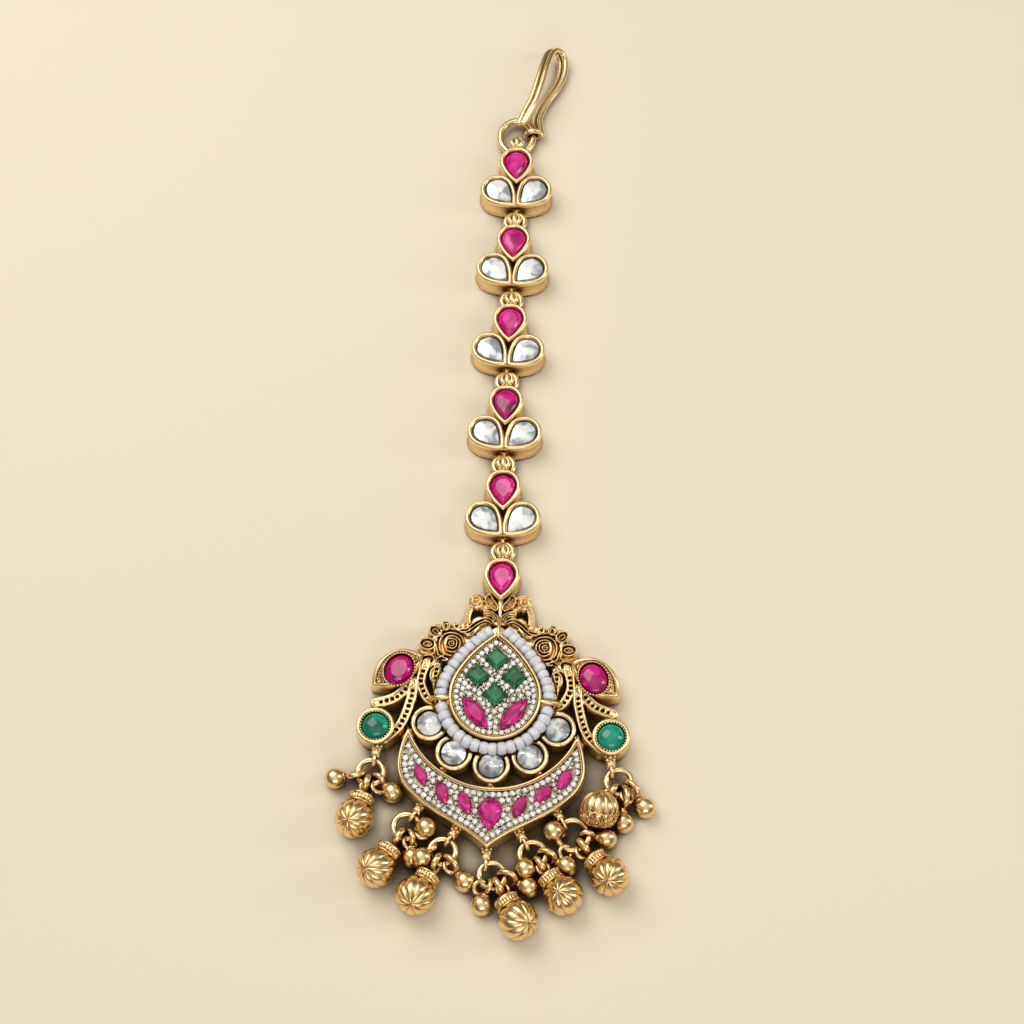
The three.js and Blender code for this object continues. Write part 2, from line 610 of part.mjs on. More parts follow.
const loopReach = 2.2;

// A bell or ball that lies at a place, with a neck and a loop round the wire of its ring
function hungBody(name, body, neckOf, reach, spot, rise, holder, angle, wire, lean) {
  body.computeBoundingBox();
  const place = vector(spot[0], spot[1], rise - body.boundingBox.min.z);
  const { caught, tangent } = wirePoint(holder.centre, holder.radius, angle);
  const local = caught.sub(place);
  const way = local.clone().normalize();
  const neckEnd = way.clone().multiplyScalar(Math.max(reach, local.length() - loopReach));
  const loop = loopRound(neckEnd, local, tangent, wire, lean);
  addPiece(name, geometryOf(joined([body, neckOf(way, neckEnd), loop])), 'gold', place);
}

function melonBody(star) {
  const body = new THREE.SphereGeometry(bell.radius, 2 * bell.lobes, 5);
  const points = body.attributes.position;
  for (let i = 0; i < points.count; i += 1) {
    const [x, y, z] = [points.getX(i), points.getY(i), points.getZ(i)];
    const level = Math.hypot(x, z) / bell.radius;
    const wave = (1 - Math.cos(bell.lobes * Math.atan2(z, x))) / 2;
    const shrink = 1 - bell.groove * level * wave;
    points.setXYZ(i, x * shrink, y, z * shrink);
  }
  return about(body.rotateX(Math.PI / 2), vector(...star), vector(0, 0));
}

const bellCollar = (way, neckEnd) => rod(way.clone().multiplyScalar(2.4), neckEnd,
  bell.collar, bell.collar * 0.6, 10);
const ballNeck = (way, neckEnd) => rod(vector(0, 0), neckEnd, ball.neck, ball.neck, 5);

lugEye.forEach((lugPoint, index) => {
  const { bell: spot, rise = 0, star, swing = 0, plain, balls } = fringe[index];
  const reach = plain ? bell.radius + 0.2 : bell.reach;
  const toBell = vector(spot[0] - lugPoint.x, spot[1] - lugPoint.y);
  const radius = Math.max(dropRing.least, (toBell.length() - reach - 1.5) / 2);
  const way = toBell.normalize().applyAxisAngle(upward, swing * Math.PI / 180);
  const holder = { centre: lugPoint.clone().addScaledVector(way, radius), radius };
  addPiece(`drop_ring_${index + 1}`, ring(radius, dropRing.wire, 10), 'gold', holder.centre);
  const bellAngle = Math.atan2(spot[1] - holder.centre.y, spot[0] - holder.centre.x);
  hungBody(`bell_${index + 1}`, melonBody(star), plain ? ballNeck : bellCollar, reach, spot, rise, holder,
    bellAngle, bell.bail, 0);
  balls.forEach(({ at, rise: lift = 0, catch: angle }, number) => {
    const body = new THREE.SphereGeometry(ball.radius, 10, 4).rotateX(Math.PI / 2);
    hungBody(`ball_${index + 1}_${number === 0 ? 'a' : 'b'}`, body, ballNeck, ball.radius + 0.15, at, lift,
      holder, angle * Math.PI / 180, ball.wire, ball.lean);
  });
});

// Hook ring, through the eye of the last link, and the doubled wire of the hook

const lastEye = pointOn(linkPlaces[linkPlaces.length - 1], upperEye);
const hookRingCentre = vector(lastEye.x - 0.2, lastEye.y + hookRing.radius * hookRing.stretch, hookRing.rise);
addPiece('hook_ring', ring(hookRing.radius, hookRing.wire, 14, 5).scale(1, hookRing.stretch, 1), 'gold',
  hookRingCentre);

// Middle line of the doubled wire, from its foot up the lower leg and down the upper one
const hookRoute = [
  { x: 2.4, y: 102.6, z: 1.66, spread: 0.3 },
  { x: 1.75, y: 104.4, z: 1.15, spread: 1 },
  { x: 1.6, y: 106.4, z: 0.95, spread: 1 },
  { x: 2.65, y: 109.3, z: 0.9, spread: 1 },
  { x: 4.15, y: 112.05, z: 0.9, spread: 1 },
  { x: 5.25, y: 114.8, z: 0.9, spread: 1 },
  { x: 5.5, y: 117.3, z: 1.05, spread: 1 },
  { x: 5.05, y: 118.85, z: 1.7, spread: 1 },
  { x: 4.1, y: 119.15, z: 2.7, spread: 1 },
  { x: 3.1, y: 117.75, z: 3.6, spread: 1 },
  { x: 2.3, y: 114.5, z: 4.25, spread: 1 },
  { x: 1.55, y: 110.9, z: 4.3, spread: 1 },
  { x: 0.8, y: 108.1, z: 4.1, spread: 1 },
  { x: -0.1, y: 106.0, z: 3.9, spread: 1 },
  { x: -1.1, y: 103.6, z: 3.5, spread: 0.7 },
];
const acrossHook = vector(0.786, -0.233, 0.57);

function hookShape() {
  const strands = sides.map((side) => {
    const route = new THREE.CatmullRomCurve3(hookRoute.map(({ x, y, z, spread }) => (
      vector(x, y, z).addScaledVector(acrossHook, side * hook.spread * spread))));
    return new THREE.ExtrudeGeometry(new THREE.Shape(roundOutline(hook.wire, 6)),
      { steps: 18, bevelEnabled: false, extrudePath: route });
  });
  const eyeAngle = 0.2;
  const centre = hookRingCentre.clone().add(vector(hookRing.radius * Math.cos(eyeAngle),
    hookRing.radius * hookRing.stretch * Math.sin(eyeAngle), hookRing.wire * 0.35));
  const along = vector(-Math.sin(eyeAngle), Math.cos(eyeAngle));
  return geometryOf(joined([...strands, about(ring(hook.eye, 0.45, 10), along, centre)]));
}

addPiece('hook', hookShape(), 'gold');

export default tikka;
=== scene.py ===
"""Maang tikka, laid flat on its back. Lengths in this file are millimetres until a piece is finished."""
import math
import random

import bpy
import numpy as np
from mathutils import Matrix, Vector
from mathutils.geometry import tessellate_polygon


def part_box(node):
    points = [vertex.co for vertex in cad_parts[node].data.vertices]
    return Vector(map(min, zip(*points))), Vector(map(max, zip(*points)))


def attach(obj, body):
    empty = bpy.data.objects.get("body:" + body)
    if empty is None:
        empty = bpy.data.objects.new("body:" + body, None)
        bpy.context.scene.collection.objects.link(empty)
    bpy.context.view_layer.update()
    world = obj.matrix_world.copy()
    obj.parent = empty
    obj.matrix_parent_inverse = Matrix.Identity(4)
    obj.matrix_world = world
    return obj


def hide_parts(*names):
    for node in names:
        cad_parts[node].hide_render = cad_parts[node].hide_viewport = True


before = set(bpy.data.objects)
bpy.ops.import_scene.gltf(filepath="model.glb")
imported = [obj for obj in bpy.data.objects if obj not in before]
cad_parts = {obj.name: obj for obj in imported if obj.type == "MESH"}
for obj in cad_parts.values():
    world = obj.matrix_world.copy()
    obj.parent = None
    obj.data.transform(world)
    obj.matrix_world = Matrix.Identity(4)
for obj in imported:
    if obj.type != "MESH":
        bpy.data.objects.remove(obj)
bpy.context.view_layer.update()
scene = bpy.context.scene
MM = 0.001
TAU = 2 * math.pi
LEFT, RIGHT = -1, 1
dice = random.Random(7)


def arr(*values):
    return np.array(values, float)


def unit(v):
    v = np.asarray(v, float)
    return v / np.linalg.norm(v)


def heading(angle, *rest):
    """The unit vector at an angle in the plane, with any further coordinates behind it."""
    return arr(math.cos(angle), math.sin(angle), *rest)


def square_to(way):
    """The vector in the plane a quarter turn on from another."""
    return arr(-way[1], way[0], *way[2:])


def full_turn(count):
    """Evenly spaced angles round a circle."""
    return np.arange(count) * TAU / count


def turn_to(axis):
    """The rotation that takes +Z to an axis."""
    return np.array(Vector((0, 0, 1)).rotation_difference(Vector(unit(axis))).to_matrix())


def ring_points(radius, z, count):
    """A level circle of points; radius may be one number or one for each point."""
    angle = full_turn(count)
    return np.stack([radius * np.cos(angle), radius * np.sin(angle), np.full(count, z)], 1)


# Mesh gathering


class Mesh:
    """Vertices, faces, and for each face a material number, a smoothing mark and a tint."""

    def __init__(self):
        self.verts, self.faces, self.mats, self.smooth, self.tints = [], [], [], [], []
        self.count = 0

    def add(self, verts, faces, mat=0, smooth=True, tint=0.5):
        verts = np.asarray(verts, float).reshape(-1, 3)
        self.verts.append(verts)
        self.faces += [tuple(int(i) + self.count for i in f) for f in faces]
        self.mats += [mat] * len(faces)
        self.smooth += [smooth] * len(faces)
        self.tints += [tint] * len(faces)
        self.count += len(verts)

    def merge(self, other, mat=None, matrix=None):
        """Takes in another mesh, moved by a matrix or given one material number."""
        verts = np.concatenate(other.verts)
        if matrix is not None:
            m = np.array(matrix, float)
            verts = verts @ m[:3, :3].T + m[:3, 3]
        self.verts.append(verts)
        self.faces += [tuple(i + self.count for i in f) for f in other.faces]
        self.mats += other.mats if mat is None else [mat] * len(other.mats)
        self.smooth += other.smooth
        self.tints += other.tints
        self.count += len(verts)

    def polygon(self, points, mat=0, tint=0.5):
        """One flat face through all the points."""
        self.add(points, [tuple(range(len(points)))], mat, False, tint)


def make(name, mesh, materials, nodes):
    """Finishes a mesh as one visible piece."""
    data = bpy.data.meshes.new(name)
    data.from_pydata((np.concatenate(mesh.verts) * MM).tolist(), [], mesh.faces)
    data.polygons.foreach_set("material_index", mesh.mats)
    data.polygons.foreach_set("use_smooth", mesh.smooth)
    data.attributes.new("tint", "FLOAT", "FACE").data.foreach_set("value", mesh.tints)
    data.update()
    for material in materials:
        data.materials.append(material)
    piece = bpy.data.objects.new(name, data)
    scene.collection.objects.link(piece)
    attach(piece, "root")
    if nodes:
        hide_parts(*nodes)


def grid_faces(rows, cols, close_rows=False):
    """Quads between rows of points, where each row runs round a closed loop."""
    corners = [(0, 0), (0, 1), (1, 1), (1, 0)]
    return [tuple((i + down) % rows * cols + (j + over) % cols for down, over in corners)
            for i in range(rows if close_rows else rows - 1) for j in range(cols)]


def fan(count):
    """Triangles from a loop of points to the one point that follows them."""
    return [(j, (j + 1) % count, count) for j in range(count)]


def loft(mesh, rings, mat=0, smooth=True, cap_start=False, cap_end=False, closed=False, tint=0.5):
    """A skin over closed loops of equally many points."""
    rings = np.asarray(rings, float)
    rows, cols = rings.shape[:2]
    mesh.add(rings.reshape(-1, 3), grid_faces(rows, cols, closed), mat, smooth, tint)
    if cap_start:
        mesh.add(rings[0], [tuple(range(cols))[::-1]], mat, False, tint)
    if cap_end:
        mesh.polygon(rings[-1], mat, tint)


def cover(mesh, ring, mat=0, up=True):
    """Fills a flat closed outline of any shape."""
    ring = np.asarray(ring, float)
    kept = [0]
    for k in range(1, len(ring)):
        if np.linalg.norm(ring[k] - ring[kept[-1]]) > 1e-4:
            kept.append(k)
    ring = ring[kept]
    faces = []
    for a, b, c in tessellate_polygon([[Vector(p) for p in ring]]):
        turn = np.cross(ring[b] - ring[a], ring[c] - ring[a])[2]
        faces.append((a, b, c) if (turn > 0) == up else (a, c, b))
    mesh.add(ring, faces, mat, False)


def frames_along(points, closed):
    """Two directions square to a curve at each of its points, with no sudden twist."""
    if closed:
        tangents = np.roll(points, -1, 0) - np.roll(points, 1, 0)
    else:
        tangents = np.gradient(points, axis=0)
    tangents = tangents / np.linalg.norm(tangents, axis=1)[:, None]
    start = arr(0, 0, 1) if abs(tangents[0][2]) < 0.9 else arr(1, 0, 0)
    normal = unit(start - tangents[0] * np.dot(start, tangents[0]))
    normals = []
    for t in tangents:
        normal = unit(normal - t * np.dot(normal, t))
        normals.append(normal)
    normals = np.array(normals)
    if closed:
        # Spreads the twist that is left over where the ends meet
        last = unit(normals[-1] - tangents[0] * np.dot(normals[-1], tangents[0]))
        twist = math.atan2(np.dot(np.cross(last, normals[0]), tangents[0]), np.dot(last, normals[0]))
        turns = (twist * np.arange(len(points)) / len(points))[:, None]
        normals = normals * np.cos(turns) + np.cross(tangents, normals) * np.sin(turns)
    return normals, np.cross(tangents, normals)


# Rounded end of a wire: share of its radius, and distance past the end in radii
END_STEPS = [(0.92, 0.38), (0.6, 0.8), (0.05, 1.0)]


def tube(mesh, points, radius, sides=12, closed=False):
    """A wire along points. radius may be one number or one for each point. The ends are rounded."""
    points = np.asarray(points, float)
    radius = np.full(len(points), radius, float) if np.isscalar(radius) else np.asarray(radius, float)
    if not closed:
        head, tail = unit(points[0] - points[1]), unit(points[-1] - points[-2])
        before = [points[0] + head * radius[0] * out for _, out in END_STEPS][::-1]
        after = [points[-1] + tail * radius[-1] * out for _, out in END_STEPS]
        shares = arr(*(share for share, _ in END_STEPS))
        radius = np.concatenate([radius[0] * shares[::-1], radius, radius[-1] * shares])
        points = np.concatenate([before, points, after])
    normals, side = frames_along(points, closed)
    angle = full_turn(sides)[None, :, None]
    spokes = np.cos(angle) * normals[:, None] + np.sin(angle) * side[:, None]
    loft(mesh, points[:, None] + spokes * radius[:, None, None], 0, True, not closed, not closed, closed)


def torus(mesh, centre, radius, wire, axis=(0, 0, 1), steps=32, sides=12, stretch=1.0):
    """A closed wire ring round an axis."""
    ring = ring_points(radius, 0, steps) * (1, stretch, 1)
    tube(mesh, ring @ turn_to(axis).T + np.asarray(centre, float), wire, sides, True)


def sphere(mesh, centre, radius, cols=16, rows=10, axis=(0, 0, 1), squash=1.0):
    rings = [ring_points(math.cos(lat), math.sin(lat) * squash, cols)
             for lat in np.linspace(-math.pi / 2, math.pi / 2, rows + 1)[1:-1]]
    points = np.concatenate([*rings, [[0, 0, -squash], [0, 0, squash]]]) * radius
    south, north, top = (rows - 1) * cols, (rows - 1) * cols + 1, (rows - 2) * cols
    faces = grid_faces(rows - 1, cols)
    faces += [((j + 1) % cols, j, south) for j in range(cols)]
    faces += [(top + j, top + (j + 1) % cols, north) for j in range(cols)]
    mesh.add(points @ turn_to(axis).T + np.asarray(centre, float), faces)


def grain(mesh, centre, radius, squash=1.0):
    sphere(mesh, centre, radius, 8, 5, squash=squash)


# Outlines, as counter-clockwise lists of points unless flipped


def pear(radius, reach, shoulder, grow=0.0, count=64, flip=False):
    """A round head at the origin whose flank arcs meet in a point below, or above it if flipped."""
    s, c = math.sin(shoulder), math.cos(shoulder)
    offset = (reach**2 - radius**2) / (2 * (radius - reach * s))
    flank = radius + offset + grow
    tip = offset * s - math.sqrt(flank**2 - (offset * c) ** 2)
    start = math.atan2(tip - offset * s, offset * c)
    n = max(4, count // 5)
    right = [(flank * math.cos(a) - offset * c, flank * math.sin(a) + offset * s)
             for a in (start + (-shoulder - start) * i / n for i in range(n))]
    m = count - 2 * n + 1
    head = [((radius + grow) * math.cos(a), (radius + grow) * math.sin(a))
            for a in (-shoulder + (math.pi + 2 * shoulder) * i / (m - 1) for i in range(m))]
    left = [(-x, y) for x, y in right[1:]][::-1]
    points = np.array(right + head + left)
    return points * (1, -1) if flip else points


def marquise(length, width, count):
    """Two equal arcs that meet in points."""
    half, wide = length / 2, width / 2
    radius = (half**2 + wide**2) / (2 * wide)
    centre = radius - wide
    sweep = math.acos(centre / radius)
    arc = np.array([(radius * math.sin(a), radius * math.cos(a) - centre)
                    for a in np.linspace(-sweep, sweep, count // 2, endpoint=False)])
    return np.concatenate([arc, -arc])[::-1]


def oval(wide, tall, count=48):
    angle = full_turn(count)
    return np.stack([wide * np.cos(angle), tall * np.sin(angle)], 1)


def turned(points, angle, at=(0, 0)):
    c, s = math.cos(angle), math.sin(angle)
    return np.asarray(points, float) @ np.array([[c, s], [-s, c]]) + np.asarray(at, float)


def middle_of(outline):
    return (outline.min(0) + outline.max(0)) / 2


def looped(points):
    return np.concatenate([points, points[:1]])


def lengths_along(line):
    """The length of a line from its start to each of its points."""
    return np.concatenate([[0], np.cumsum(np.linalg.norm(np.diff(line, axis=0), axis=1))])


def resample(points, count, closed=True):
    """The same line with its points at even distances."""
    loop = looped(points) if closed else np.asarray(points, float)
    length = lengths_along(loop)
    at = np.linspace(0, length[-1], count, endpoint=not closed)
    return np.stack([np.interp(at, length, loop[:, k]) for k in range(loop.shape[1])], 1)


def spline(points, count, closed=False):
    """A smooth curve through points, at even distances."""
    p = np.asarray(points, float)
    if closed:
        p = np.concatenate([p[-1:], p, p[:2]])
    else:
        p = np.concatenate([[2 * p[0] - p[1]], p, [2 * p[-1] - p[-2]]])
    out = []
    for i in range(1, len(p) - 2):
        a, b, c, d = p[i - 1:i + 3]
        for t in np.linspace(0, 1, 24, endpoint=False):
            out.append(0.5 * (2 * b + (c - a) * t + (2 * a - 5 * b + 4 * c - d) * t**2
                              + (3 * b - a - 3 * c + d) * t**3))
    if not closed:
        out.append(p[-2])
    return resample(np.array(out), count, closed)


def offset_outline(points, distance):
    """Moves a counter-clockwise outline outward along its normals."""
    along = np.roll(points, -1, 0) - points
    along /= np.linalg.norm(along, axis=1)[:, None]
    before = np.roll(along, 1, 0)
    normal = np.stack([along[:, 1] + before[:, 1], -along[:, 0] - before[:, 0]], 1)
    normal /= np.linalg.norm(normal, axis=1)[:, None]
    spread = np.clip((normal * np.stack([before[:, 1], -before[:, 0]], 1)).sum(1), 0.45, 1)
    return points + normal * (distance / spread)[:, None]


def inside(points, outline):
    """For each point, whether it lies in the closed outline."""
    found = np.zeros(len(points), bool)
    for a, b in zip(outline, np.roll(outline, -1, 0)):
        crosses = (a[1] > points[:, 1]) != (b[1] > points[:, 1])
        with np.errstate(divide="ignore", invalid="ignore"):
            at = a[0] + (points[:, 1] - a[1]) * (b[0] - a[0]) / (b[1] - a[1])
        found ^= crosses & (points[:, 0] < at)
    return found


def gap_to(points, spot):
    """The distance of each point to one spot."""
    return np.hypot(points[:, 0] - spot[0], points[:, 1] - spot[1])


def distance_to(points, line, closed=False):
    """The distance of each point to the nearest stretch of a line."""
    if closed:
        line = looped(line)
    best = np.full(len(points), 1e9)
    for a, b in zip(line[:-1], line[1:]):
        step = b - a
        if step.any():
            t = np.clip(((points - a) @ step) / math.hypot(*step) ** 2, 0, 1)
            best = np.minimum(best, gap_to(points - t[:, None] * step, a))
    return best


def at_height(points, z):
    height = np.broadcast_to(np.asarray(z, float).reshape(-1, 1), (len(points), 1))
    return np.concatenate([points, height], 1)


def walls(mesh, outline_of, profile, cap_start=True):
    """A wall round an outline, through (grow, z) pairs from the outer foot over the rim to the inner foot."""
    loft(mesh, [at_height(outline_of(grow), z) for grow, z in profile], cap_start=cap_start)


def rim_profile(top, wall, seat, bulge=0.03, steps=8):
    """Outer foot, up the side, over a round rim, and down inside to the seat."""
    radius = wall / 2
    side = [(-0.08, 0.0), (0.0, 0.1), (bulge, top / 2), (bulge, top - radius)]
    arc = [(-radius + radius * math.cos(a) + bulge * (1 - i / steps), top - radius + radius * math.sin(a))
           for i, a in enumerate(np.linspace(0, math.pi, steps + 1))][1:]
    return side + arc + [(-wall, seat)]


def placed(outline_of, x, y, angle):
    return lambda grow: turned(outline_of(grow), angle, (x, y))


# Materials. Lengths inside them are metres, and scales are per metre


def material(name):
    m = bpy.data.materials.new(name)
    m.use_nodes = True
    return m, m.node_tree, m.node_tree.nodes["Principled BSDF"]


def node(tree, kind, **values):
    """A new node, with each value set on the input of that name, or else on the node itself."""
    n = tree.nodes.new(kind)
    for key, value in values.items():
        if key in n.inputs:
            n.inputs[key].default_value = value
        else:
            setattr(n, key, value)
    return n


def set_inputs(shader, **values):
    """Sets the inputs whose names are the keys with spaces for underscores."""
    for key, value in values.items():
        shader.inputs[key.replace("_", " ")].default_value = value


def math_node(tree, operation, source, factor, added=None):
    n = node(tree, "ShaderNodeMath", operation=operation)
    tree.links.new(source, n.inputs[0])
    n.inputs[1].default_value = factor
    if added is not None:
        tree.links.new(added, n.inputs[2])
    return n.outputs[0]


def textured(tree, kind, **values):
    """A texture node that reads the piece's own coordinates."""
    n = node(tree, kind, **values)
    tree.links.new(tree.nodes.new("ShaderNodeTexCoord").outputs["Object"], n.inputs["Vector"])
    return n


def ramp(tree, source, stops):
    r = tree.nodes.new("ShaderNodeValToRGB")
    ends = r.color_ramp.elements
    for end, (place, colour) in zip((ends[0], ends[1]), (stops[0], stops[-1])):
        end.position, end.color = place, (*colour, 1)
    for place, colour in stops[1:-1]:
        ends.new(place).color = (*colour, 1)
    tree.links.new(source, r.inputs["Fac"])
    return r.outputs["Color"]


def rgb(code):
    """A hexadecimal colour as linear light."""
    parts = [int(code[i:i + 2], 16) / 255 for i in (0, 2, 4)]
    return tuple(p / 12.92 if p <= 0.04045 else ((p + 0.055) / 1.055) ** 2.4 for p in parts)


def shades(*places_and_codes):
    return [(place, rgb(code)) for place, code in places_and_codes]


def gold_material(name, crevice, mid, light, rough, reach=0.0009, grit=0.25, scale=2600.0, deep=0.12):
    """Worn cast gold: dark in the hollows, partly patina and partly painted shade, and bright on what stands
    proud as a painted highlight, with a fine grain.
    """
    blot_share, open_share = 0.34, 0.92
    m, tree, shader = material(name)
    # Occlusion drives the colour: painted shade with patina in the hollows, painted highlight on open
    # surfaces, with blotches of wear mixed in.
    hollow = node(tree, "ShaderNodeAmbientOcclusion", Distance=reach, samples=6)
    blot = textured(tree, "ShaderNodeTexNoise", Scale=420.0, Detail=4.0, Roughness=0.6)
    wear_and_shade = math_node(tree, "MULTIPLY_ADD", blot.outputs["Fac"], blot_share, hollow.outputs["AO"])
    wear_and_shade = math_node(tree, "SUBTRACT", wear_and_shade, blot_share / 2)
    stops = shades((deep, crevice), ((deep + open_share) / 2, mid), (open_share, light))
    tree.links.new(ramp(tree, wear_and_shade, stops), shader.inputs["Base Color"])
    set_inputs(shader, Metallic=1.0)
    fine = textured(tree, "ShaderNodeTexNoise", Scale=scale, Detail=5.0, Roughness=0.65)
    spread = node(tree, "ShaderNodeMapRange", **{"To Min": rough - 0.09, "To Max": rough + 0.13})
    tree.links.new(fine.outputs["Fac"], spread.inputs["Value"])
    tree.links.new(spread.outputs["Result"], shader.inputs["Roughness"])
    bump = node(tree, "ShaderNodeBump", Strength=grit, Distance=0.00012)
    tree.links.new(fine.outputs["Fac"], bump.inputs["Height"])
    tree.links.new(bump.outputs["Normal"], shader.inputs["Normal"])
    return m


# Each gold's first colour is the dark of its hollows, partly patina and partly painted shade; its last is the
# painted highlight of open surfaces.
cast_gold = gold_material("cast_gold", "472a0e", "d0a058", "f8deaa", 0.29)
relief_gold = gold_material("relief_gold", "5c3c14", "c99a53", "f4deac", 0.27, 0.0006, 0.2, deep=0.24)
wire_gold = gold_material("wire_gold", "54361a", "d3a662", "f8e0ac", 0.22, 0.0012, 0.1, 1800.0)
bell_gold = gold_material("bell_gold", "3c2309", "cb9852", "f2d49c", 0.25, 0.0012, 0.1, 1800.0, 0.22)
stud_metal = gold_material("stud_metal", "6b563a", "cfc0a2", "f7efdd", 0.28, 0.0005, 0.1, 3000.0)
pave_floor = gold_material("pave_floor", "3a2d1c", "97866a", "d9cdb4", 0.4, 0.0007, 0.5, 3000.0)
# A much darker copy of the gold for the seats under the stones: painted shade in the recesses.
shaded_seat_gold = gold_material("shaded_seat_gold", "2c1c0a", "5a3f1a", "9a7840", 0.5, 0.0009, 0.5, 3000.0)


def face_tint(tree):
    return node(tree, "ShaderNodeAttribute", attribute_name="tint").outputs["Fac"]


def gem_material(name, deep, body, bright, scale, painted_glow):
    """A cut stone: the facets behind the table show as patches of deeper and brighter colour, painted
    reflections, and the colour is also emitted as painted light.
    """
    m, tree, shader = material(name)
    cells = textured(tree, "ShaderNodeTexVoronoi", Scale=scale, feature="F1", Randomness=0.9)
    split = tree.nodes.new("ShaderNodeSeparateColor")
    tree.links.new(cells.outputs["Color"], split.inputs[0])
    cloud = textured(tree, "ShaderNodeTexNoise", Scale=scale * 0.55, Detail=3.0, Distortion=1.4)
    patches = math_node(tree, "MULTIPLY_ADD", split.outputs[0], 0.45, cloud.outputs["Fac"])
    patches = math_node(tree, "MULTIPLY_ADD", face_tint(tree), 0.5, patches)
    patches = math_node(tree, "MULTIPLY", patches, 0.5)
    colour = ramp(tree, patches, shades((0.30, deep), (0.50, body), (0.72, bright)))
    # The same colour also feeds the emission: painted light inside the stone.
    for socket in ("Base Color", "Emission Color"):
        tree.links.new(colour, shader.inputs[socket])
    set_inputs(shader, Emission_Strength=painted_glow, Roughness=0.16, IOR=1.5, Coat_Weight=0.35, Coat_Roughness=0.03)
    return m


ruby = gem_material("ruby", "6a0139", "bd0470", "ea2fa0", 650.0, 0.1)
emerald = gem_material("emerald", "012a14", "045f30", "14a05c", 700.0, 0.06)
teal = gem_material("green_glass", "025844", "048a70", "2cc4a4", 380.0, 0.1)


def clear_material(name, dark, mid, light, metal, rough, scale, steep=1.0):
    """A foil-backed clear stone: patches of grey and white behind a polished face, painted reflections."""
    even = 0.66
    m, tree, shader = material(name)
    cloud = textured(tree, "ShaderNodeTexNoise", Scale=scale, Detail=1.5, Roughness=0.55, Distortion=0.9)
    patches = math_node(tree, "MULTIPLY_ADD", face_tint(tree), 0.3, cloud.outputs["Fac"])
    stops = shades((even - 0.14 / steep, dark), (even - 0.03 / steep, mid), (even + 0.08 / steep, light))
    tree.links.new(ramp(tree, patches, stops), shader.inputs["Base Color"])
    set_inputs(shader, Metallic=metal, Roughness=rough, Coat_Weight=1.0, Coat_Roughness=0.02)
    return m


crystal = clear_material("crystal", "a39684", "ece7dd", "ffffff", 0.2, 0.1, 1400.0, 0.7)
flat_crystal = clear_material("flat_crystal", "9a9fa4", "dfe3e5", "ffffff", 0.2, 0.08, 420.0)
pearl = clear_material("pearl", "7c8189", "cbcfd4", "ffffff", 0.35, 0.1, 480.0, 0.8)


def bead_material():
    m, tree, shader = material("seed_bead")
    cloud = textured(tree, "ShaderNodeTexNoise", Scale=500.0, Detail=3.0)
    colour = ramp(tree, cloud.outputs["Fac"], shades((0.3, "cfd3dc"), (0.7, "e9ebf0")))
    tree.links.new(colour, shader.inputs["Base Color"])
    set_inputs(shader, Roughness=0.32, Coat_Weight=0.35, Coat_Roughness=0.18,
               Subsurface_Weight=0.15, Subsurface_Radius=(0.0006, 0.0006, 0.0007))
    return m


seed_bead = bead_material()


def floor_material():
    """A pale floor with painted shadow: it darkens to brown where the jewel closes it in."""
    m, tree, shader = material("floor_with_painted_shade")
    hollow = node(tree, "ShaderNodeAmbientOcclusion", Distance=0.01, samples=12)
    colour = ramp(tree, hollow.outputs["AO"], shades((0.27, "46341c"), (0.52, "ede0ca")))
    tree.links.new(colour, shader.inputs["Base Color"])
    set_inputs(shader, Roughness=0.9, Specular_IOR_Level=0.1)
    return m


# Stones


def cut_gem(mesh, outline, girdle, table, mat=0, share=0.6):
    """Facets from a girdle up to a flat table, and a plain cone below."""
    pavilion = 0.6
    centre, n = middle_of(outline), len(outline)
    between = (outline + np.roll(outline, -1, 0)) / 2

    def shrunk(points, k, z):
        return at_height(centre + (points - centre) * k, z)

    edge = at_height(outline, girdle)
    star = shrunk(between, (1 + share) / 2 + 0.03, girdle + (table - girdle) * 0.62)
    verts = np.concatenate([edge, star, shrunk(outline, share, table)])
    # Each crown facet gets a random tint, a painted reflection; the table a middle one and the pavilion a
    # darker one.
    for j in range(n):
        k = (j + 1) % n
        for corners, spread in (((j, k, n + j), 0.5), ((n + j, k, n + k), 0.5),
                                ((n + j, n + k, 2 * n + k), 0.6), ((n + j, 2 * n + k, 2 * n + j), 0.6)):
            mesh.polygon(verts[list(corners)], mat, 0.3 + spread * dice.random())
    mesh.polygon(verts[2 * n:], mat, 0.55)
    loft(mesh, [shrunk(outline, 0.97, girdle - pavilion), edge], mat, False, True, tint=0.3)


def dome(mesh, outline, low, girdle, top, mat=0, rows=8, power=1.0, tint=0.5):
    """A smooth cabochon."""
    centre = middle_of(outline)
    rings = [at_height(outline, low)]
    for a in np.linspace(0, math.pi / 2, rows + 1)[:-1]:
        shrunk = centre + (outline - centre) * math.cos(a) ** power
        rings.append(at_height(shrunk, girdle + (top - girdle) * math.sin(a)))
    loft(mesh, rings, mat, True, True, tint=tint)
    mesh.add(np.concatenate([rings[-1], [[*centre, top]]]), fan(len(outline)), mat, True, tint)


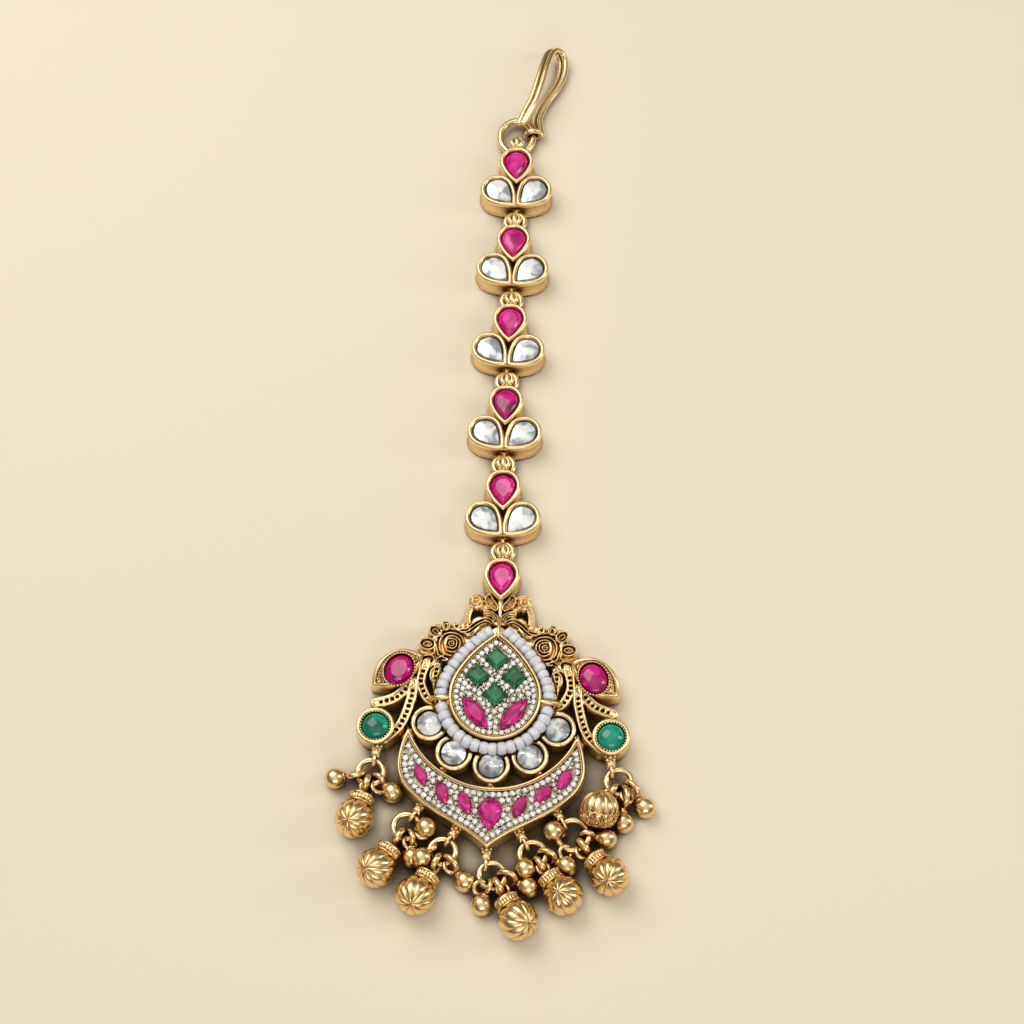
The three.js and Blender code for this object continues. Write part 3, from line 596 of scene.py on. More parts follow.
def rough_cut(mesh, outline, low, girdle, top, mat, flats, seed):
    """A domed stone ground into a few wide flats, each with its own slope."""
    rng = random.Random(seed)
    centre = middle_of(outline)
    span = (outline.max(0) - outline.min(0)) / 2
    rise = top - girdle
    planes = []
    for i in range(flats):
        angle = TAU * i / (flats - 1) + rng.uniform(-0.3, 0.3)
        r = 0.0 if i == flats - 1 else rng.uniform(0.45, 0.72)
        spot = centre + span * r * heading(angle)
        tilt = -(spot - centre) / span**2 * rise * rng.uniform(1.0, 1.5)
        planes.append((spot, top - rise * r**2 * 0.9 + rng.uniform(-0.03, 0.03), tilt))
    rings = [centre + (outline - centre) * k for k in (1, 0.93, 0.82, 0.7, 0.58, 0.46, 0.34, 0.22, 0.1)]
    flat = np.concatenate([*rings, [centre]])
    z = np.min([h + (flat - spot) @ tilt for spot, h, tilt in planes], 0)
    n = len(outline)
    z[:n] = girdle
    skin = at_height(flat, np.maximum(z, girdle))
    # The tint rises ring by ring towards the middle: a painted highlight in the middle of the stone, painted
    # shade towards its rim.
    for row in range(len(rings) - 1):
        mesh.add(skin[row * n:(row + 2) * n], grid_faces(2, n), mat, False, 0.25 + 0.09 * row)
    mesh.add(skin[(len(rings) - 1) * n:], fan(n), mat, False, 0.9)
    loft(mesh, [at_height(outline, low), at_height(outline, girdle)], mat, True, True)


# Camera, floor and lights


def face_towards(thing, place, aim):
    thing.location = Vector(place) * MM
    thing.rotation_mode = "QUATERNION"
    thing.rotation_quaternion = (Vector(aim) * MM - thing.location).to_track_quat("-Z", "Y")
    scene.collection.objects.link(thing)


camera_data = bpy.data.cameras.new("camera")
camera_data.lens, camera_data.sensor_width = 87.9, 36.0
camera_data.clip_start, camera_data.clip_end = 0.01, 10.0
scene.camera = bpy.data.objects.new("camera", camera_data)
face_towards(scene.camera, (9.181, -129.756, 365.418), (0.95, 32.73, 0.0))

FLOOR_HALF, FLOOR_Z = 4.0, -3e-5
floor_corners = [(x * FLOOR_HALF, y * FLOOR_HALF, FLOOR_Z) for x, y in ((-1, -1), (1, -1), (1, 1), (-1, 1))]
ground_data = bpy.data.meshes.new("ground")
ground_data.from_pydata(floor_corners, [], [(0, 1, 2, 3)])
ground_data.materials.append(floor_material())
ground = bpy.data.objects.new("ground", ground_data)
scene.collection.objects.link(ground)


def soft_light(name, place, size, power, colour):
    data = bpy.data.lights.new(name, "AREA")
    data.shape, data.size, data.size_y = "RECTANGLE", size[0] * MM, size[1] * MM
    data.energy, data.color = power, colour
    face_towards(bpy.data.objects.new(name, data), place, (0, 30, 0))


soft_light("key", (-170, 190, 330), (320, 320), 0.95, (1.0, 0.985, 0.96))
soft_light("front", (60, -330, 260), (300, 140), 0.42, (1.0, 0.97, 0.93))
soft_light("right", (330, 60, 190), (80, 240), 0.3, (1.0, 0.98, 0.95))


def studio_sky():
    """Bright above, dim at the sides, and a little brighter again below."""
    world = bpy.data.worlds.new("studio")
    world.use_nodes = True
    scene.world = world
    tree = world.node_tree
    height = tree.nodes.new("ShaderNodeSeparateXYZ")
    tree.links.new(tree.nodes.new("ShaderNodeTexCoord").outputs["Generated"], height.inputs[0])
    shade = ramp(tree, height.outputs["Z"], [(0.0, (0.30, 0.26, 0.21)), (0.3, (0.13, 0.11, 0.09)),
                                             (0.66, (0.36, 0.34, 0.31)), (0.97, (1.0, 0.975, 0.93))])
    tree.links.new(shade, tree.nodes["Background"].inputs["Color"])
    set_inputs(tree.nodes["Background"], Strength=0.8)


studio_sky()
scene.view_settings.view_transform = "Standard"


# Chain. A link's origin is the centre of its ruby bezel's round head

BEZEL = {"radius": 2.75, "reach": 4.3, "shoulder": 0.38}
BEZEL_TOP, BEZEL_WALL, BEZEL_FLOOR = 4.1, 0.72, 3.05
STONE_LOW, STONE_GIRDLE = 3.1, 3.5
EYE_RADIUS, EYE_WIRE, EYE_RISE = 1.0, 0.3, 1.4
UPPER_EYE, LOWER_EYE = 2.95, -8.9
LINK_PITCH, TOP_Y = 15.05, 20.35
# DARK marks the seats under the stones, which take the darker gold as painted shade.
RUBY, CLEAR, DARK, PAVE_FLOOR = range(1, 5)
chain_materials = [cast_gold, ruby, flat_crystal, shaded_seat_gold]


def pear_bezel(mesh, x, y, angle, stone=None, seed=0):
    """A cup with a beaded foot, a waist and a rolled rim, and its stone if it is fused in."""
    shape = placed(lambda grow: pear(**BEZEL, grow=grow), x, y, angle)
    side = [(0.0, 0.0), (0.1, 0.12), (0.1, 0.42), (-0.12, 0.6), (-0.22, 1.2), (-0.24, 2.2)]
    rim = [(-0.29 + 0.43 * math.cos(a), BEZEL_TOP - 0.66 + 0.64 * math.sin(a))
           for a in np.linspace(-1.15, math.pi * 0.9, 14)]
    walls(mesh, shape, side + rim + [(-BEZEL_WALL, BEZEL_TOP - 0.75), (-BEZEL_WALL - 0.02, 3.0)])
    for px, py in resample(shape(0.06), 44):
        grain(mesh, (px, py, 0.27), 0.24)
    mesh.polygon(at_height(shape(-BEZEL_WALL + 0.03), BEZEL_FLOOR), DARK)
    edge = resample(shape(-BEZEL_WALL - 0.07), 26)
    if stone == "smooth":
        dome(mesh, edge, STONE_LOW, STONE_GIRDLE, 4.2, RUBY, 7, 0.8, 0.35 + 0.3 * dice.random())
    elif stone == "cut":
        cut_gem(mesh, resample(edge, 14), 3.55, 4.2, RUBY, 0.62)
    elif stone == "clear":
        rough_cut(mesh, edge, STONE_LOW, STONE_GIRDLE, 4.12, CLEAR, 7, seed)


def bud_ornament(mesh, x, y, base=2.95, size=1.35):
    """A lotus bud that points up the chain: two outer petals, one between them, and grains at the foot."""
    root = arr(x, y - 0.3 * size)
    thickness = (0.2, 0.26, 0.3, 0.3, 0.28, 0.24, 0.2, 0.14, 0.05)
    for bulge, length, lift, thick in ((0.62, 1.75, 0.0, 1.0), (-0.62, 1.75, 0.0, 1.0),
                                       (0.0, 1.95, 0.22, 1.2)):
        points = [(root[0] - bulge * size * math.sin(math.pi * t) ** 0.8, root[1] + length * size * t,
                   base + lift * math.sin(math.pi * t)) for t in np.linspace(0.02, 1, 9)]
        tube(mesh, points, [s * size * thick for s in thickness], 10)
    for along, aside, r in ((0.0, 0.42, 0.22), (0.0, -0.42, 0.22), (0.0, 0.0, 0.24), (0.75, 0.85, 0.15),
                            (0.75, -0.85, 0.15), (1.15, 0.62, 0.13), (1.15, -0.62, 0.13)):
        grain(mesh, (root[0] + aside * size, root[1] + along * size, base + 0.14), r * size)


def upright_eye(mesh, spot, axis=(1, 0, 0)):
    torus(mesh, spot, EYE_RADIUS, EYE_WIRE, axis, 24, 10)


def link_mesh(number):
    mesh = Mesh()
    pear_bezel(mesh, 0, 0, 0, "cut" if number % 2 else "smooth")
    for side in (LEFT, RIGHT):
        pear_bezel(mesh, side * 3.15, -5.55, -side * math.pi / 4, "clear", number * 3 + side)
        tube(mesh, [(side * 1.1, -3.0, 1.3), (side * 1.9, -3.75, 1.3)], 1.0, 12)
        tube(mesh, [(side * 1.2, -3.1, 2.6), (side * 1.8, -3.7, 2.6)], 0.42, 12)
    tube(mesh, [(-0.35, -7.9, 1.4), (0.35, -7.9, 1.4)], 0.75, 12)
    for y in (LOWER_EYE, UPPER_EYE):
        upright_eye(mesh, (0, y, EYE_RISE))
    bud_ornament(mesh, 0, UPPER_EYE + 0.6)
    tube(mesh, [(0, 2.6, 2.5), (0, 3.2, 2.75)], 0.5, 10)
    return mesh


# How each link lies, from the pendant up: x, and the turn in degrees
link_lay = [(-0.6, 2.3), (-0.92, 0.6), (-1.02, -0.6), (-1.21, 0.8), (-1.45, 2.1)]
link_place = [(arr(x, TOP_Y + 0.25 + (k + 1) * LINK_PITCH, 0), math.radians(turn))
              for k, (x, turn) in enumerate(link_lay)]


def on_link(k, y):
    """The place of an eye of a link; link -1 is the pendant's own bezel."""
    place, turn = link_place[k] if k >= 0 else (arr(0, TOP_Y, 0), 0.0)
    return place + arr(-math.sin(turn) * y, math.cos(turn) * y, EYE_RISE)


for k, (place, turn) in enumerate(link_place):
    link = Mesh()
    link.merge(link_mesh(k + 1), matrix=Matrix.Translation(Vector(place)) @ Matrix.Rotation(turn, 4, "Z"))
    make(f"link_{k + 1}", link, chain_materials, [f"chain_link_{k + 1}"])
    joint = Mesh()
    torus(joint, (on_link(k - 1, UPPER_EYE) + on_link(k, LOWER_EYE)) / 2, 1.6, 0.46)
    make(f"link_ring_{k + 1}", joint, [wire_gold], [f"chain_ring_{k + 1}"])


# Hook and its ring

RING_RADIUS, RING_STRETCH = 2.8, 1.15
last_eye = on_link(4, UPPER_EYE)
hook_ring_centre = arr(last_eye[0] - 0.2, last_eye[1] + RING_RADIUS * RING_STRETCH, 1.45)
hook_ring = Mesh()
torus(hook_ring, hook_ring_centre, RING_RADIUS, 0.6, steps=56, sides=16, stretch=RING_STRETCH)
make("hook_jump_ring", hook_ring, [wire_gold], ["hook_ring"])

# Route of the doubled wire's middle: x, y, z, and the share of the full spread between the two wires
hook_route = np.array([
    (2.4, 102.6, 1.66, 0.3), (1.75, 104.4, 1.15, 1), (1.6, 106.4, 0.95, 1), (2.65, 109.3, 0.9, 1),
    (4.15, 112.05, 0.9, 1), (5.25, 114.8, 0.9, 1), (5.5, 117.3, 1.05, 1), (5.05, 118.85, 1.7, 1),
    (4.1, 119.15, 2.7, 1), (3.1, 117.75, 3.6, 1), (2.3, 114.5, 4.25, 1), (1.55, 110.9, 4.3, 1),
    (0.8, 108.1, 4.1, 1), (-0.1, 106.0, 3.9, 1), (-1.1, 103.6, 3.5, 0.7)])
HOOK_SPREAD, HOOK_WIRE, HOOK_EYE_AT = 0.6, 0.5, 0.2
across_hook = arr(0.786, -0.233, 0.57)
hook = Mesh()
for side in (LEFT, RIGHT):
    route = hook_route[:, :3] + across_hook * (side * HOOK_SPREAD * hook_route[:, 3:])
    tube(hook, spline(route, 110), HOOK_WIRE, 16)
eye_way = heading(HOOK_EYE_AT, 0)
centre = hook_ring_centre + eye_way * (RING_RADIUS, RING_RADIUS * RING_STRETCH, 0) + (0, 0, 0.175)
torus(hook, centre, 1.15, 0.45, square_to(eye_way), 32, 14)
make("hook_wire", hook, [wire_gold], ["hook"])


# Pendant: solid cast parts

BOSS = {"radius": 7.1, "reach": 10.3, "shoulder": 0.49}
LEDGE_OUT, BEAD_OUT, BEAD_FLOOR = 1.75, 1.15, 2.2
PEARL_OUT, PEARL_STEP = 10.8, math.radians(32.5)
GREEN_AT = arr(18.0, -5.55)
LEAF_AT, LEAF_LEAN = arr(15.0, 3.7), 0.44
BAR_Y = -0.65
frame_materials = [cast_gold, ruby, flat_crystal, shaded_seat_gold, pave_floor]


def boss(grow, count=110):
    return pear(**BOSS, grow=grow, count=count, flip=True)[::-1]


bead_room = boss(2.45)
pearl_at = [arr(PEARL_OUT * math.sin(a), -PEARL_OUT * math.cos(a))
            for a in (PEARL_STEP * k for k in range(-2, 3))]


def milgrain(mesh, line, radius, z, pitch):
    """A close row of small grains round a closed line."""
    for x, y in resample(line, int(lengths_along(looped(line))[-1] / pitch)):
        grain(mesh, (x, y, z), radius, 0.85)


def lug_bud(mesh, spot, way):
    """A small flower of grains over a bud that holds the jump ring."""
    across = square_to(way)
    tube(mesh, [(*(spot - way * 1.7), 1.9), (*spot, 2.1)], [0.7, 0.75], 12)
    middle = spot - way * 0.55
    sphere(mesh, (*middle, 2.35), 0.85, squash=0.75)
    for a in full_turn(7):
        grain(mesh, (*(middle + way * 0.62 * math.cos(a) + across * 0.62 * math.sin(a)), 2.85), 0.27)
    grain(mesh, (*middle, 2.95), 0.34)
    for turn in (-0.55, 0.0, 0.55):
        tip = way * math.cos(turn) + across * math.sin(turn)
        points = [(*(spot + way * 0.1 + tip * t), 2.75 - 0.2 * t) for t in np.linspace(0.1, 1.05, 6)]
        tube(mesh, points, [0.22, 0.32, 0.34, 0.3, 0.22, 0.1], 10)
    sphere(mesh, (*(spot + way * 0.1), 2.1), 0.8, 14, 10, squash=1.1)


def cup(mesh, spot, radius, wall, top, seat, under_beads=False):
    """A round cup. Where the bead string passes over it, its wall stops below the beads."""
    count = 56
    shape = placed(lambda grow: oval(radius + grow, radius + grow, count), *spot, 0)
    rings = np.array([at_height(shape(grow), z) for grow, z in rim_profile(top, wall, seat)])
    if under_beads:
        low = inside(rings[..., :2].reshape(-1, 2), bead_room).reshape(rings.shape[:2])
        rings[low, 2] = np.minimum(rings[low, 2], BEAD_FLOOR)
    loft(mesh, rings, cap_start=True)
    mesh.polygon(at_height(shape(-wall), seat + 0.02), DARK)


cast = Mesh()
walls(cast, lambda grow: boss(LEDGE_OUT + grow),
      [(-0.08, 0.0), (0, 0.12), (0, 2.0), (-0.08, 2.18), (-0.25, 2.25), (-LEDGE_OUT, 2.25)])
walls(cast, boss, [(0, 1.8), (0, 4.2), (-0.03, 4.42), (-0.12, 4.56), (-0.24, 4.6), (-0.36, 4.55),
                   (-0.44, 4.42), (-0.46, 3.2)], cap_start=False)
cast.polygon(at_height(boss(-0.4), 3.72), PAVE_FLOOR)
milgrain(cast, boss(-0.62), 0.17, 4.2, 0.36)
for side in (LEFT, RIGHT):
    bar = [(side * 6.95, BAR_Y + 0.1, 4.0), (side * 8.2, BAR_Y, 4.15), (side * 9.5, BAR_Y, 3.7),
           (side * 9.75, BAR_Y, 2.0)]
    tube(cast, bar, [0.36, 0.42, 0.42, 0.5], 12)
    tube(cast, [(side * 9.75, BAR_Y, 3.0), (side * 9.75, BAR_Y, 0.5)], 0.55, 12)
tube(cast, [(0, 9.9, 4.1), (0, 11.0, 4.15), (0, 12.4, 3.6), (0, 13.3, 3.0)], [0.42, 0.34, 0.24, 0.2], 12)
for spot in pearl_at:
    cup(cast, spot, 2.85, 0.66, 3.4, 1.35, True)
    out = unit(spot)
    tube(cast, [(*(spot + out * 2.6), 1.2), (*(spot + out * 4.0), 1.2)], 0.75, 10)
    grain(cast, (*(spot + out * 3.2), 3.2), 0.3)
    for turn in (-0.9, 0.9):
        grain(cast, (*(spot + 2.62 * heading(math.atan2(out[1], out[0]) + turn)), 3.3), 0.2)
for side in (LEFT, RIGHT):
    cup(cast, GREEN_AT * (side, 1), 2.9, 0.6, 3.9, 2.4)
    milgrain(cast, turned(oval(2.28, 2.28), 0, GREEN_AT * (side, 1)), 0.17, 3.75, 0.46)
pear_bezel(cast, 0, TOP_Y, 0)

# Outline of the right leaf: its outer edge, then its inner edge, from tip to tip
leaf_edges = [[(19.2, 1.1), (19.0, 3.4), (17.7, 5.7), (15.2, 7.25), (13.0, 7.2), (11.4, 6.7)],
              [(11.4, 6.7), (11.7, 5.0), (13.0, 2.5), (15.4, 0.85), (17.4, 0.75), (19.2, 1.1)]]
leaf_outline = np.concatenate([spline(edge, 40)[:-1] for edge in leaf_edges])


def edge_beyond(centre, ways, outline):
    """Where the rays from a centre leave an outline."""
    loop = looped(outline)
    outer = []
    for way in ways:
        hits = []
        for a, b in zip(loop[:-1], loop[1:]):
            m = np.array([way, a - b]).T
            if abs(np.linalg.det(m)) > 1e-9:
                t, u = np.linalg.solve(m, a - centre)
                if t > 0 and -1e-6 <= u <= 1 + 1e-6:
                    hits.append(t)
        outer.append(centre + way * max(hits))
    return np.array(outer)


def leaf_cup(mesh, side):
    """An oval seat in a leaf with a raised edge, a granulated inner rim and drooping tips."""
    count = 84
    centre = LEAF_AT * (side, 1)
    seat = turned(oval(2.2, 2.65, count), side * LEAF_LEAN, centre)
    way = seat - centre
    outer = edge_beyond(centre, way, leaf_outline * (side, 1))
    width = np.linalg.norm(outer - seat, axis=1)[:, None]
    back = (seat - outer) / width
    reach = gap_to(outer, centre)
    droop = 1.2 * np.clip((reach - 3.3) / 1.7, 0, 1) ** 1.5
    rings = []
    for inward, z in ((0.0, 0.0), (-0.02, 0.3), (-0.02, 3.2), (0.06, 3.6), (0.22, 3.92), (0.46, 4.1),
                      (0.72, 4.1), (0.96, 3.92), (1.08, 3.72)):
        rings.append(at_height(outer + back * np.minimum(inward, width * 0.6), z - droop * (z > 2)))
    for share, z in ((1.14, 3.75), (1.08, 3.9), (1.03, 3.8), (1.0, 3.5), (0.99, 2.6)):
        at = centre + way * share
        within = gap_to(at, centre) < reach
        at = np.where(within[:, None], at, outer + back * 0.6 * width)
        rings.append(at_height(at, z - np.where(within, 0, droop)))
    loft(mesh, [ring[::side] for ring in rings], cap_start=True)
    mesh.polygon(at_height(seat[::side], 2.65), DARK)
    milgrain(mesh, centre + way * 1.06, 0.19, 3.92, 0.47)
    rng = random.Random(5)
    taken = []
    for _ in range(900):
        k = rng.randrange(count)
        if width[k] > 1.5:
            spot = outer[k] + back[k] * rng.uniform(1.1, max(1.12, float(width[k]) - 0.45))
            if all(np.hypot(*(spot - other)) > 0.34 for other in taken):
                taken.append(spot)
                grain(mesh, (*spot, 3.72), rng.uniform(0.13, 0.19))


for side in (LEFT, RIGHT):
    leaf_cup(cast, side)

# Crescent: the right outer edge from the lowest point to the horn, and an arc inside
crescent_edge = [(0, -24.0), (3.45, -21.5), (7.3, -19.35), (10.6, -17.2), (13.2, -14.6), (14.2, -11.8),
                 (13.9, -8.6), (12.95, -5.5)]
CRESCENT_INNER, CRESCENT_RISE = 13.76, -0.84
horn_x, horn_y = crescent_edge[-1]
horn_angle = math.atan2(horn_x, CRESCENT_RISE - horn_y)
inner_arc = np.array([(CRESCENT_INNER * math.sin(a), CRESCENT_RISE - CRESCENT_INNER * math.cos(a))
                      for a in (horn_angle - 2 * horn_angle * (i + 1) / 60 for i in range(59))])
right_edge = spline(crescent_edge, 40)
crescent = np.concatenate([right_edge, inner_arc, (right_edge[1:] * (-1, 1))[::-1]])


def crescent_in(grow):
    """The outline moved in or out. Inward steps pull the horns in too, so that it never crosses itself."""
    moved = offset_outline(crescent, grow)
    if grow >= 0:
        return moved
    kept = np.where(distance_to(moved, crescent, True) >= -0.93 * grow)[0]
    return moved[kept[np.abs(np.arange(len(moved))[:, None] - kept).argmin(1)]]


walls(cast, crescent_in,
      [(-0.05, 0.0), (0.02, 0.15), (0.02, 3.85), (-0.05, 4.08), (-0.16, 4.2), (-0.28, 4.2), (-0.36, 4.08),
       (-0.4, 3.95), (-0.45, 4.0), (-0.52, 4.02), (-0.6, 3.9), (-0.62, 3.4)], cap_start=False)
cover(cast, at_height(crescent_in(-0.55), 3.62), PAVE_FLOOR)
cover(cast, at_height(crescent_in(-0.05), 0.0), up=False)
milgrain(cast, crescent_in(-0.5), 0.15, 4.02, 0.33)

# Pendant: cast relief as a height map of the right half. Heights under zero are empty

STEP, EMPTY, BASE = 0.085, -1.0, 1.85
grid_x, grid_y = np.meshgrid(np.arange(0.0, 20.6, STEP), np.arange(-9.4, 18.4, STEP))
spots = np.stack([grid_x.ravel(), grid_y.ravel()], 1)
height_map = np.full(len(spots), EMPTY)


def raise_to(values, where):
    height_map[where] = np.maximum(height_map[where], values[where])


def round_edge(inward, width):
    """Rises as a quarter circle from 0 at the edge to 1 at a width inside it."""
    return np.sqrt(1 - (1 - np.clip(inward / width, 0, 1)) ** 2)


def disc(x, y, radius, top, edge=0.35):
    d = gap_to(spots, (x, y))
    raise_to(top - edge * (1 - round_edge(radius - d, edge)), d < radius)


def domed(d, half, base, lift):
    raise_to(base + lift * np.sqrt(np.clip(1 - (d / half) ** 2, 0, 1)), d < half)


def ball_cap(x, y, radius, base, lift):
    domed(gap_to(spots, (x, y)), radius, base, lift)


def wire(route, width, base, lift, closed=False):
    domed(distance_to(spots, spline(route, 60, closed), closed), width / 2, base, lift)


def loop_of(x, y, wide, tall, angle=0.0, count=12, corner=2.0):
    """A closed route: an oval, or with a larger corner a rounded square."""
    circle = oval(1, 1, count)
    return turned(np.sign(circle) * np.abs(circle) ** (2 / corner) * (wide, tall), angle, (x, y))


def pitted_band(route, width, top, pitch=0.86, pit=0.25):
    """A broad band, hollowed along its middle, with a row of pits of uneven size."""
    line = spline(route, 90)
    d = distance_to(spots, line)
    half = width / 2
    h = top - 0.4 * (1 - round_edge(half - d, 0.3))
    h = h - 0.2 * np.minimum(np.clip(1 - d / (half - 0.34), 0, 1) * 3, 1)
    reach = lengths_along(line)
    for at in np.arange(0.6, reach[-1] - 0.5, pitch):
        x = np.interp(at, reach, line[:, 0]) + dice.uniform(-0.04, 0.04)
        y = np.interp(at, reach, line[:, 1]) + dice.uniform(-0.04, 0.04)
        r = gap_to(spots, (x, y)) / (pit * dice.uniform(0.85, 1.15))
        h = h - 0.75 * np.clip(1.15 - r**2, 0, 1)
    raise_to(h, d < half)


def scrolls():
    """The rosette, the curled lobes round it, and the waves that run up to the birds."""
    for x, y, radius in ((7.25, 8.8, 2.75), (9.6, 10.9, 1.4), (10.9, 8.4, 1.5), (10.8, 5.7, 1.4),
                         (5.0, 11.0, 1.9), (3.0, 12.3, 1.6), (9.3, 6.6, 1.3), (7.9, 11.2, 1.2),
                         (3.2, 12.0, 1.1), (1.5, 13.4, 1.25)):
        disc(x, y, radius, BASE)
    for size, corner, across in ((0.4, 2.5, 0.28), (0.82, 2.8, 0.32)):
        wire(loop_of(7.25, 8.85, size, size * 0.96, 0.2, 16, corner), across, 2.1, 0.68, True)
    ball_cap(7.25, 8.85, 0.2, 2.2, 0.55)
    wire([(8.3, 8.76), (8.14, 9.58), (7.62, 10.05), (6.74, 10.0), (6.05, 9.45), (5.9, 8.65), (6.28, 7.81),
          (7.02, 7.42), (7.91, 7.73)], 0.36, 2.1, 0.66, True)
    wire([(8.95, 7.68), (9.12, 8.72), (8.91, 9.66), (8.19, 10.45), (7.11, 10.62), (5.99, 10.2), (5.45, 9.37),
          (5.4, 8.55), (5.84, 7.6), (6.66, 6.9), (7.65, 6.9), (8.54, 7.2)], 0.36, 2.1, 0.6, True)
    wire([(9.31, 7.2), (9.62, 8.6), (9.5, 9.9), (8.9, 10.8), (7.8, 11.3), (6.59, 11.1), (5.38, 10.7),
          (4.9, 10.2)], 0.36, 2.05, 0.6)
    wire([(9.3, 7.0), (8.4, 6.5), (7.41, 6.2), (6.5, 6.4)], 0.36, 2.05, 0.6)
    for x, y, turn, size in ((9.85, 10.75, 0.75, 0.9), (10.95, 8.6, 0.1, 1.05), (10.85, 5.8, -0.5, 1.0),
                             (8.3, 11.75, 1.35, 0.66), (6.6, 11.75, 1.5, 0.5)):
        wire(loop_of(x, y, 1.15 * size, 0.88 * size, turn), 0.34, 2.1, 0.72, True)
        wire(loop_of(x, y, 0.62 * size, 0.4 * size, turn, 10), 0.26, 2.1, 0.5, True)
    for route in ([(9.9, 9.6), (9.9, 8.4), (9.8, 7.2), (10.2, 6.9)], [(8.9, 10.4), (9.7, 9.7), (10.2, 9.6)],
                  [(8.4, 6.8), (9.3, 6.2), (9.8, 5.2)], [(6.0, 6.6), (7.2, 6.0), (8.6, 6.0)],
                  [(9.0, 5.9), (10.0, 5.0), (10.4, 4.4)]):
        wire(route, 0.34, 2.05, 0.7)
    for route in ([(6.38, 11.25), (5.07, 11.4), (4.5, 11.9), (3.93, 12.45), (3.08, 13.0), (2.23, 13.36),
                   (1.4, 13.1), (0.8, 12.5)],
                  [(5.9, 10.75), (4.9, 10.95), (4.3, 11.4), (3.68, 11.98), (2.84, 12.55), (2.0, 12.85),
                   (1.3, 12.5)],
                  [(5.3, 10.5), (4.5, 10.6), (3.96, 11.0), (3.4, 11.6), (2.8, 12.1), (2.07, 12.4)],
                  [(4.7, 10.2), (4.0, 10.45), (3.5, 11.1), (3.0, 11.6)]):
        wire(route, 0.34, 2.1, 0.7)
    for route in ([(2.28, 14.1), (1.5, 14.1), (0.85, 13.7), (0.5, 13.0), (0.45, 12.2)],
                  [(2.14, 13.75), (1.45, 13.7), (0.98, 13.3), (0.82, 12.7)],
                  [(2.41, 14.5), (1.63, 14.5), (0.85, 14.15), (0.35, 13.6), (0.2, 12.8)]):
        wire(route, 0.28, 2.1, 0.72)


def bird():
    """A head with a ringed eye, a crest, a neck with a row of grains, and a body with a pear of grains."""
    disc(3.75, 16.1, 1.25, 2.7, 0.6)
    wire(loop_of(3.78, 16.1, 0.62, 0.7, 0.1), 0.3, 2.65, 0.42, True)
    ball_cap(3.78, 16.15, 0.34, 2.65, 0.5)
    wire([(4.72, 16.5), (4.3, 17.1), (3.4, 17.2), (2.76, 16.92), (2.35, 16.6)], 0.34, 2.4, 0.5)
    wire([(4.62, 15.3), (5.0, 14.3), (5.1, 13.2), (5.0, 12.3), (4.7, 11.7)], 0.95, 1.95, 0.5)
    neck = spline([(4.65, 15.2), (5.02, 14.3), (5.12, 13.2), (5.0, 12.4)], 50)
    for t in np.linspace(0.04, 0.96, 8):
        ball_cap(*neck[int(t * 49)], 0.22, 2.4, 0.36)
    wire([(4.3, 14.8), (4.58, 13.9), (4.62, 13.1), (4.5, 12.5)], 0.26, 2.0, 0.5)
    wire([(2.9, 15.4), (2.2, 14.7), (2.0, 13.8), (2.3, 13.1)], 1.2, 1.8, 0.5)
    wire([(3.0, 15.25), (2.6, 14.7), (2.5, 14.2)], 0.3, 2.2, 0.5)
    for x, y, radius in ((1.0, 15.2, 0.6), (1.6, 15.9, 0.75), (1.95, 16.5, 0.5)):
        disc(x, y, radius, 2.35, 0.3)
    wire([(1.68, 17.2), (1.3, 16.52), (0.65, 15.75), (0.36, 15.05), (0.6, 14.6), (1.09, 14.7), (1.6, 15.05),
          (2.05, 15.5), (2.35, 16.1), (2.25, 16.83)], 0.32, 2.2, 0.85, True)
    for x, y in ((1.91, 16.6), (1.6, 16.2), (1.95, 15.95), (1.3, 15.7), (1.65, 15.5), (1.0, 15.35),
                 (1.3, 15.2), (0.85, 15.0)):
        ball_cap(x, y, 0.18, 2.35, 0.45)


def arms():
    """The pitted bands that carry the leaf and the green cup, and the open loop between them."""
    pitted_band([(12.9, 1.9), (15.3, -0.6), (18.2, -1.7)], 1.75, 3.25)
    pitted_band([(12.4, 4.6), (12.7, 1.5), (12.95, -1.0), (14.2, -5.0), (16.4, -7.4)], 1.6, 3.3)
    pitted_band([(10.9, 5.4), (11.6, 2.4), (10.5, -0.3), (8.7, -1.3)], 1.5, 3.0)
    pitted_band([(9.2, 5.0), (9.35, 2.9), (8.9, 1.0)], 1.25, 2.9, 0.72, 0.2)
    wire(loop_of(9.3, 3.5, 0.85, 1.2, 0.2), 0.42, 2.4, 0.8, True)


def clear_seats():
    """Empties the map where the boss, the cups and the leaf stand, and lowers it under the bead string."""
    covered = inside(spots, boss(LEDGE_OUT + 0.15)) | inside(spots, offset_outline(leaf_outline, -0.25))
    covered |= gap_to(spots, GREEN_AT) < 2.75
    for spot in pearl_at:
        covered |= gap_to(spots, spot) < 2.7
    height_map[covered] = EMPTY
    under = inside(spots, bead_room)
    height_map[under] = np.minimum(height_map[under], BEAD_FLOOR)


def around(field):
    """A grid's own values and its eight neighbours', each with its step down and across."""
    for down in (-1, 0, 1):
        for over in (-1, 0, 1):
            yield np.roll(np.roll(field, down, 0), over, 1), down, over


def softened(h):
    """A light blur of neighbouring heights, as in a cast surface, that leaves the outer edge alone."""
    total, weight = np.zeros_like(h), np.zeros_like(h)
    for shifted, down, over in around(h):
        share = (2 - abs(over)) * (2 - abs(down))
        total += np.where(shifted > 0, shifted * share, 0)
        weight += np.where(shifted > 0, share, 0)
    return np.where(h > 0, total / np.maximum(weight, 1), h)


